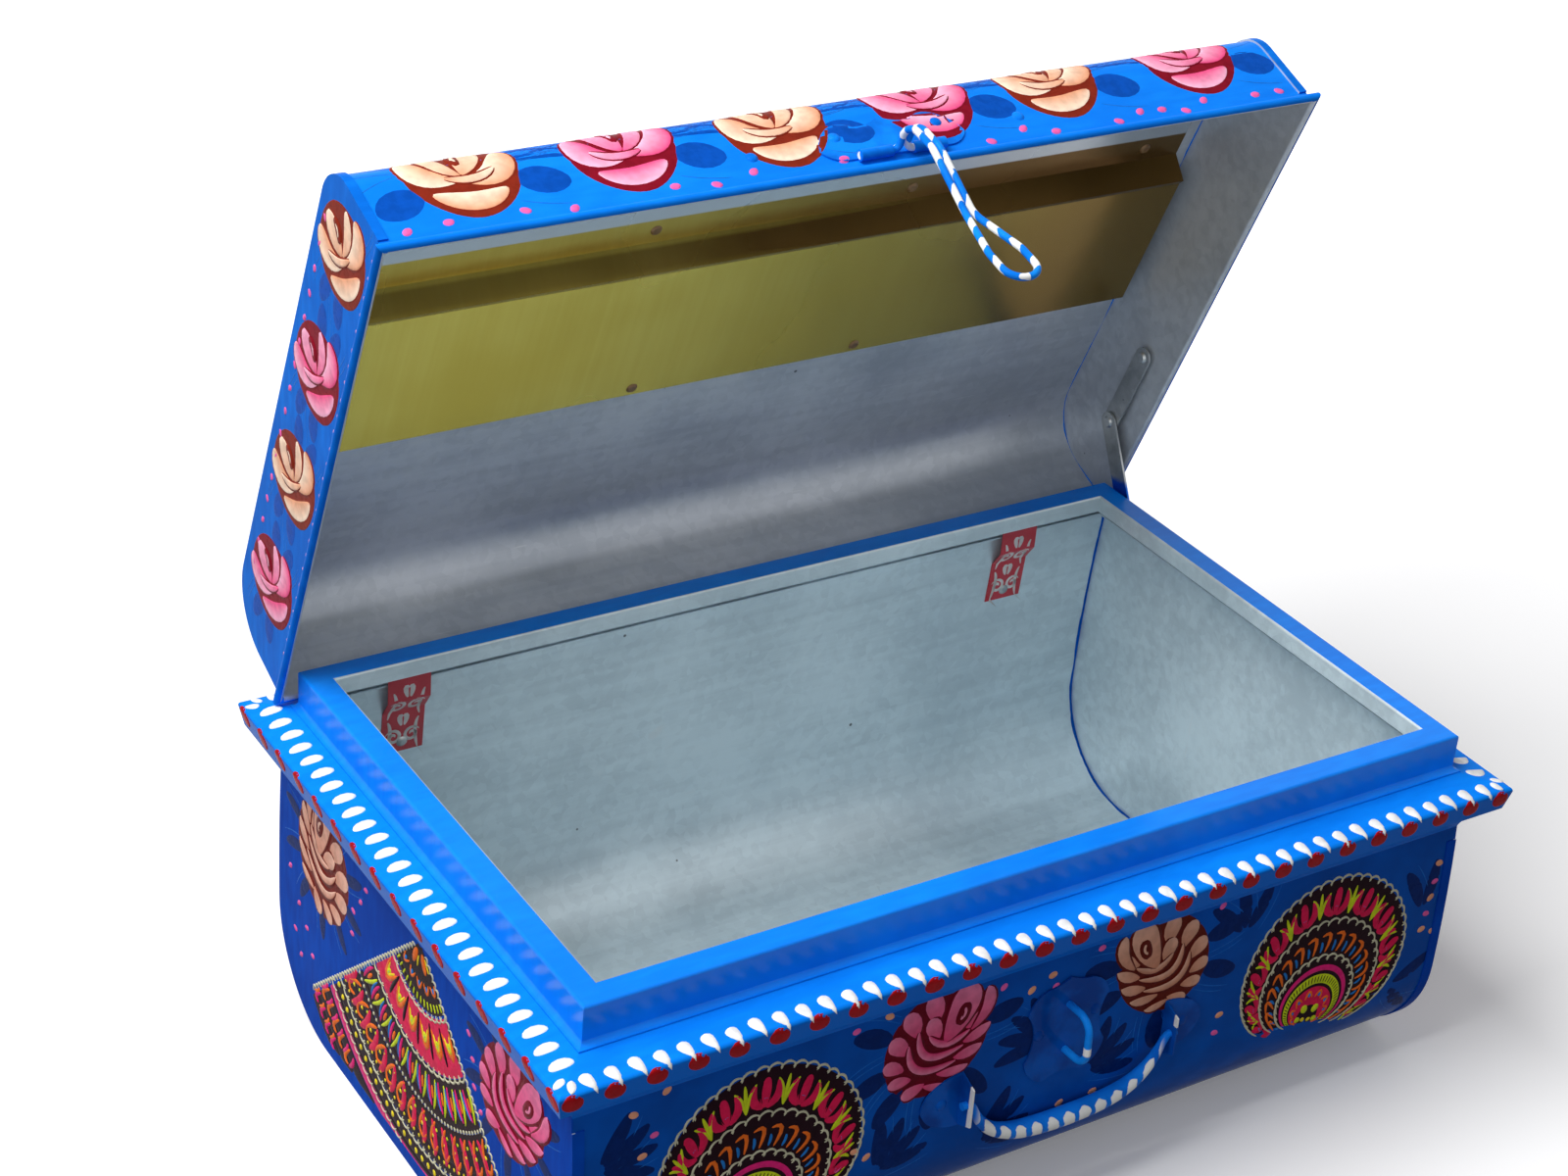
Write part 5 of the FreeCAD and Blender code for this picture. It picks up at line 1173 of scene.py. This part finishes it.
for end, flip in (("left", 1), ("right", -1)):
    side = "lid " + end
    for number, u in enumerate((232, 170, 109, 46)):
        place = ((u - hinge[0]) * flip, 26)
        leaves(side, place, (-104, -74, 78, 108), 15, 32, 5.0, lid_leaf, streaks=2)
        bud(side, place, 20.5, (tan, pink)[number % 2], turn=0.9 * flip, flip=flip)
    dots(side, [((u - hinge[0]) * flip, 4.6) for u in range(24, 256, 9)], (0.80, 0.36, 0.50), 1.1)
    dots(side, [((u - hinge[0]) * flip, 43.5) for u in range(40, 236, 13)], dot_pink, 1.2)
print("strokes on the lid's left end: %d" % len(drawings["lid left"]))

# %% The lid's top and back
for s, kind, flip in ((-150, pink, 1), (0, tan, -1), (150, pink, -1)):
    leaves(front, (s, 175), range(0, 360, 36), 28, 54, 5.5, lid_leaf)
    open_rose(front, (s, 175), 32, kind, flip=flip)
for s in (-75, 75):
    round_fan(front, (s, 140), 68, 0.0)
dots(front, [(s, t) for t in (98, 244) for s in range(-196, 200, 14)], dot_pink, 1.6)
for number, s in enumerate((-165, -99, -33, 33, 99, 165)):
    leaves("lid back", (s, 27), (-100, -80, 80, 100), 18, 32, 4.2, lid_leaf)
    bud("lid back", (s, 27), 19, (pink, tan)[number % 2], flip=1 if number % 2 else -1)
print("strokes on the lid's front and top: %d" % len(drawings[front]))

# %% [markdown]
# ## The straps' print
# The two hinge straps were cut from printed tin, so scraps of a scroll pattern show: pale spirals about a
# small heart. They are drawn on the fall of each strap, seen from inside the trunk.

# %% Straps
print_grey = (0.72, 0.68, 0.66)
loop_depth = 8.0                        # mm from a strap's furthest point back to its fall


def strap(side, s, t):
    """Points and normals of the fall of a strap: s right and t up from its lower end, seen from inside."""
    low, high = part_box("hinge_strap_" + side)
    middle = (low.x + high.x) / 2 * 1000
    inward = np.stack([0 * s, 0 * s - 1, 0 * s], -1)
    return np.stack([s + middle, 0 * s + high.y * 1000 - loop_depth, t + low.z * 1000], -1), inward


for side in ("left", "right"):
    name = "strap " + side
    charts[name] = (strap, side, "trunk", ["hinge_strap_" + side])
    for flip in (-1, 1):
        for base in (3.0, 21.0, 39.0):
            turns = np.linspace(0.3, 9.5, 26)
            radius = 4.2 - turns * 0.36
            spiral = np.stack([(radius * np.cos(turns) + 4.4) * flip, radius * np.sin(turns) + base + 5], 1)
            heart_half = ((0, base + 15.5), (3.0 * flip, base + 17.5), (0.6 * flip, base + 10.5))
            border = ((7.6 * flip, base - 3), (4.4 * flip, base + 9), (7.4 * flip, base + 14))
            stroke(name, spiral, 0.85, print_grey, raised=0.0, blunt=12)
            stroke(name, heart_half, 1.3, print_grey, raised=0.0)
            stroke(name, border, 0.9, print_grey, raised=0.0)
print("strokes on each strap: %d" % len(drawings["strap left"]))

# %% [markdown]
# ## Laying the paint
# All the strokes of one side become one mesh, with their colours in an attribute. One finish serves them all:
# hard gloss enamel, with fine drag lines and a little unevenness in the colour. The points of a stroke are
# worked out together, and only the rays that find the sheet go one by one, because the tree of triangles
# takes one ray at a time.

# %% The painter's enamel
paint_finish, tree, shader = new_finish("painter's enamel", IOR=1.5, Specular_IOR_Level=0.012)
where = place_of(tree)
colour = add(tree, "Attribute", attribute_name="colour")
uneven = cloud(tree, where, 240.0, 3.0)
share = step(tree, uneven, 0.2, 0.8, 0.82, 1.08)
feed(shader, "Base Color", add(tree, "VectorMath", colour, None, None, share, operation="SCALE"))
feed(shader, "Roughness", step(tree, uneven, 0.2, 0.8, 0.22, 0.34))
bumped(tree, shader, uneven, 0.00012, 0.5)
print("nodes in the painter's enamel: %d" % len(tree.nodes))

# %% Laying the strokes
from mathutils.bvhtree import BVHTree

bpy.context.view_layer.update()


def sheet_tree(names):
    """The triangles of some CAD nodes, ready for rays."""
    corners, faces = [], []
    for name in names:
        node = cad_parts[name]
        start = len(corners)
        corners += [node.matrix_world @ vertex.co for vertex in node.data.vertices]
        faces += [[start + index for index in polygon.vertices] for polygon in node.data.polygons]
    return BVHTree.FromPolygons(corners, faces)


def grid_faces(rows, columns, start):
    """Quads between the lines of a grid: corner, next, next of the following line, and back."""
    corner = start + (np.arange(rows - 1)[:, None] * columns + np.arange(columns - 1)).ravel()
    return np.stack([corner, corner + 1, corner + columns + 1, corner + columns], 1)


def landed(rays, points, normals, reach=0.006):
    """Points moved along their normals onto the sheet, or nothing where the stroke leaves it.
    A few points over a rivet hole keep their place on the chart."""
    found, missed = points.copy(), 0
    for number, (point, normal) in enumerate(zip(points, normals)):
        normal = Vector(normal)
        hit = rays.ray_cast(Vector(point) + normal * reach, -normal, reach * 2.5)[0]
        if hit is None:
            missed += 1
        else:
            found[number] = hit
    return found if missed <= 0.08 * len(points) else None


def painted_mesh(name, strokes, chart, side, rays):
    """One mesh of all the strokes of a side, and how many were left out because they leave the sheet."""
    corners, shades, faces, dropped = [], [], [], 0
    for grid, colour, height in strokes:
        points, normals = chart(side, grid[..., 0].ravel(), grid[..., 1].ravel())
        points = landed(rays, points / 1000, normals)
        if points is None:
            dropped += 1
            continue
        faces.append(grid_faces(*height.shape, sum(map(len, corners))))
        corners.append(points + normals * height.reshape(-1, 1) / 1000)
        shades.append(colour.reshape(-1, 3))
    corners, shades, faces = np.concatenate(corners), np.concatenate(shades), np.concatenate(faces)
    mesh = bpy.data.meshes.new(name)
    mesh.from_pydata(corners.tolist(), [], faces.tolist())
    if mesh.polygons[len(mesh.polygons) // 2].normal.dot(Vector(normals[0])) < 0:
        mesh.flip_normals()
    layer = mesh.attributes.new("colour", "FLOAT_COLOR", "POINT")
    layer.data.foreach_set("color", np.column_stack([shades, np.ones(len(shades))]).ravel())
    mesh.polygons.foreach_set("use_smooth", np.ones(len(faces), bool))
    mesh.materials.append(paint_finish)
    return mesh, dropped


total = 0
for drawing, strokes in drawings.items():
    chart, side, body, sheets = charts[drawing]
    mesh, dropped = painted_mesh("strokes " + drawing, strokes, chart, side, sheet_tree(sheets))
    piece = bpy.data.objects.new("strokes_" + drawing.replace(" ", "_"), mesh)
    scene.collection.objects.link(piece)
    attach(piece, body)
    total += len(mesh.polygons)
    counts = (drawing, len(strokes), len(mesh.polygons), dropped)
    print("%-12s %5d strokes %6d faces, %d left out beyond the sheet" % counts)
print("all paint: %d faces" % total)
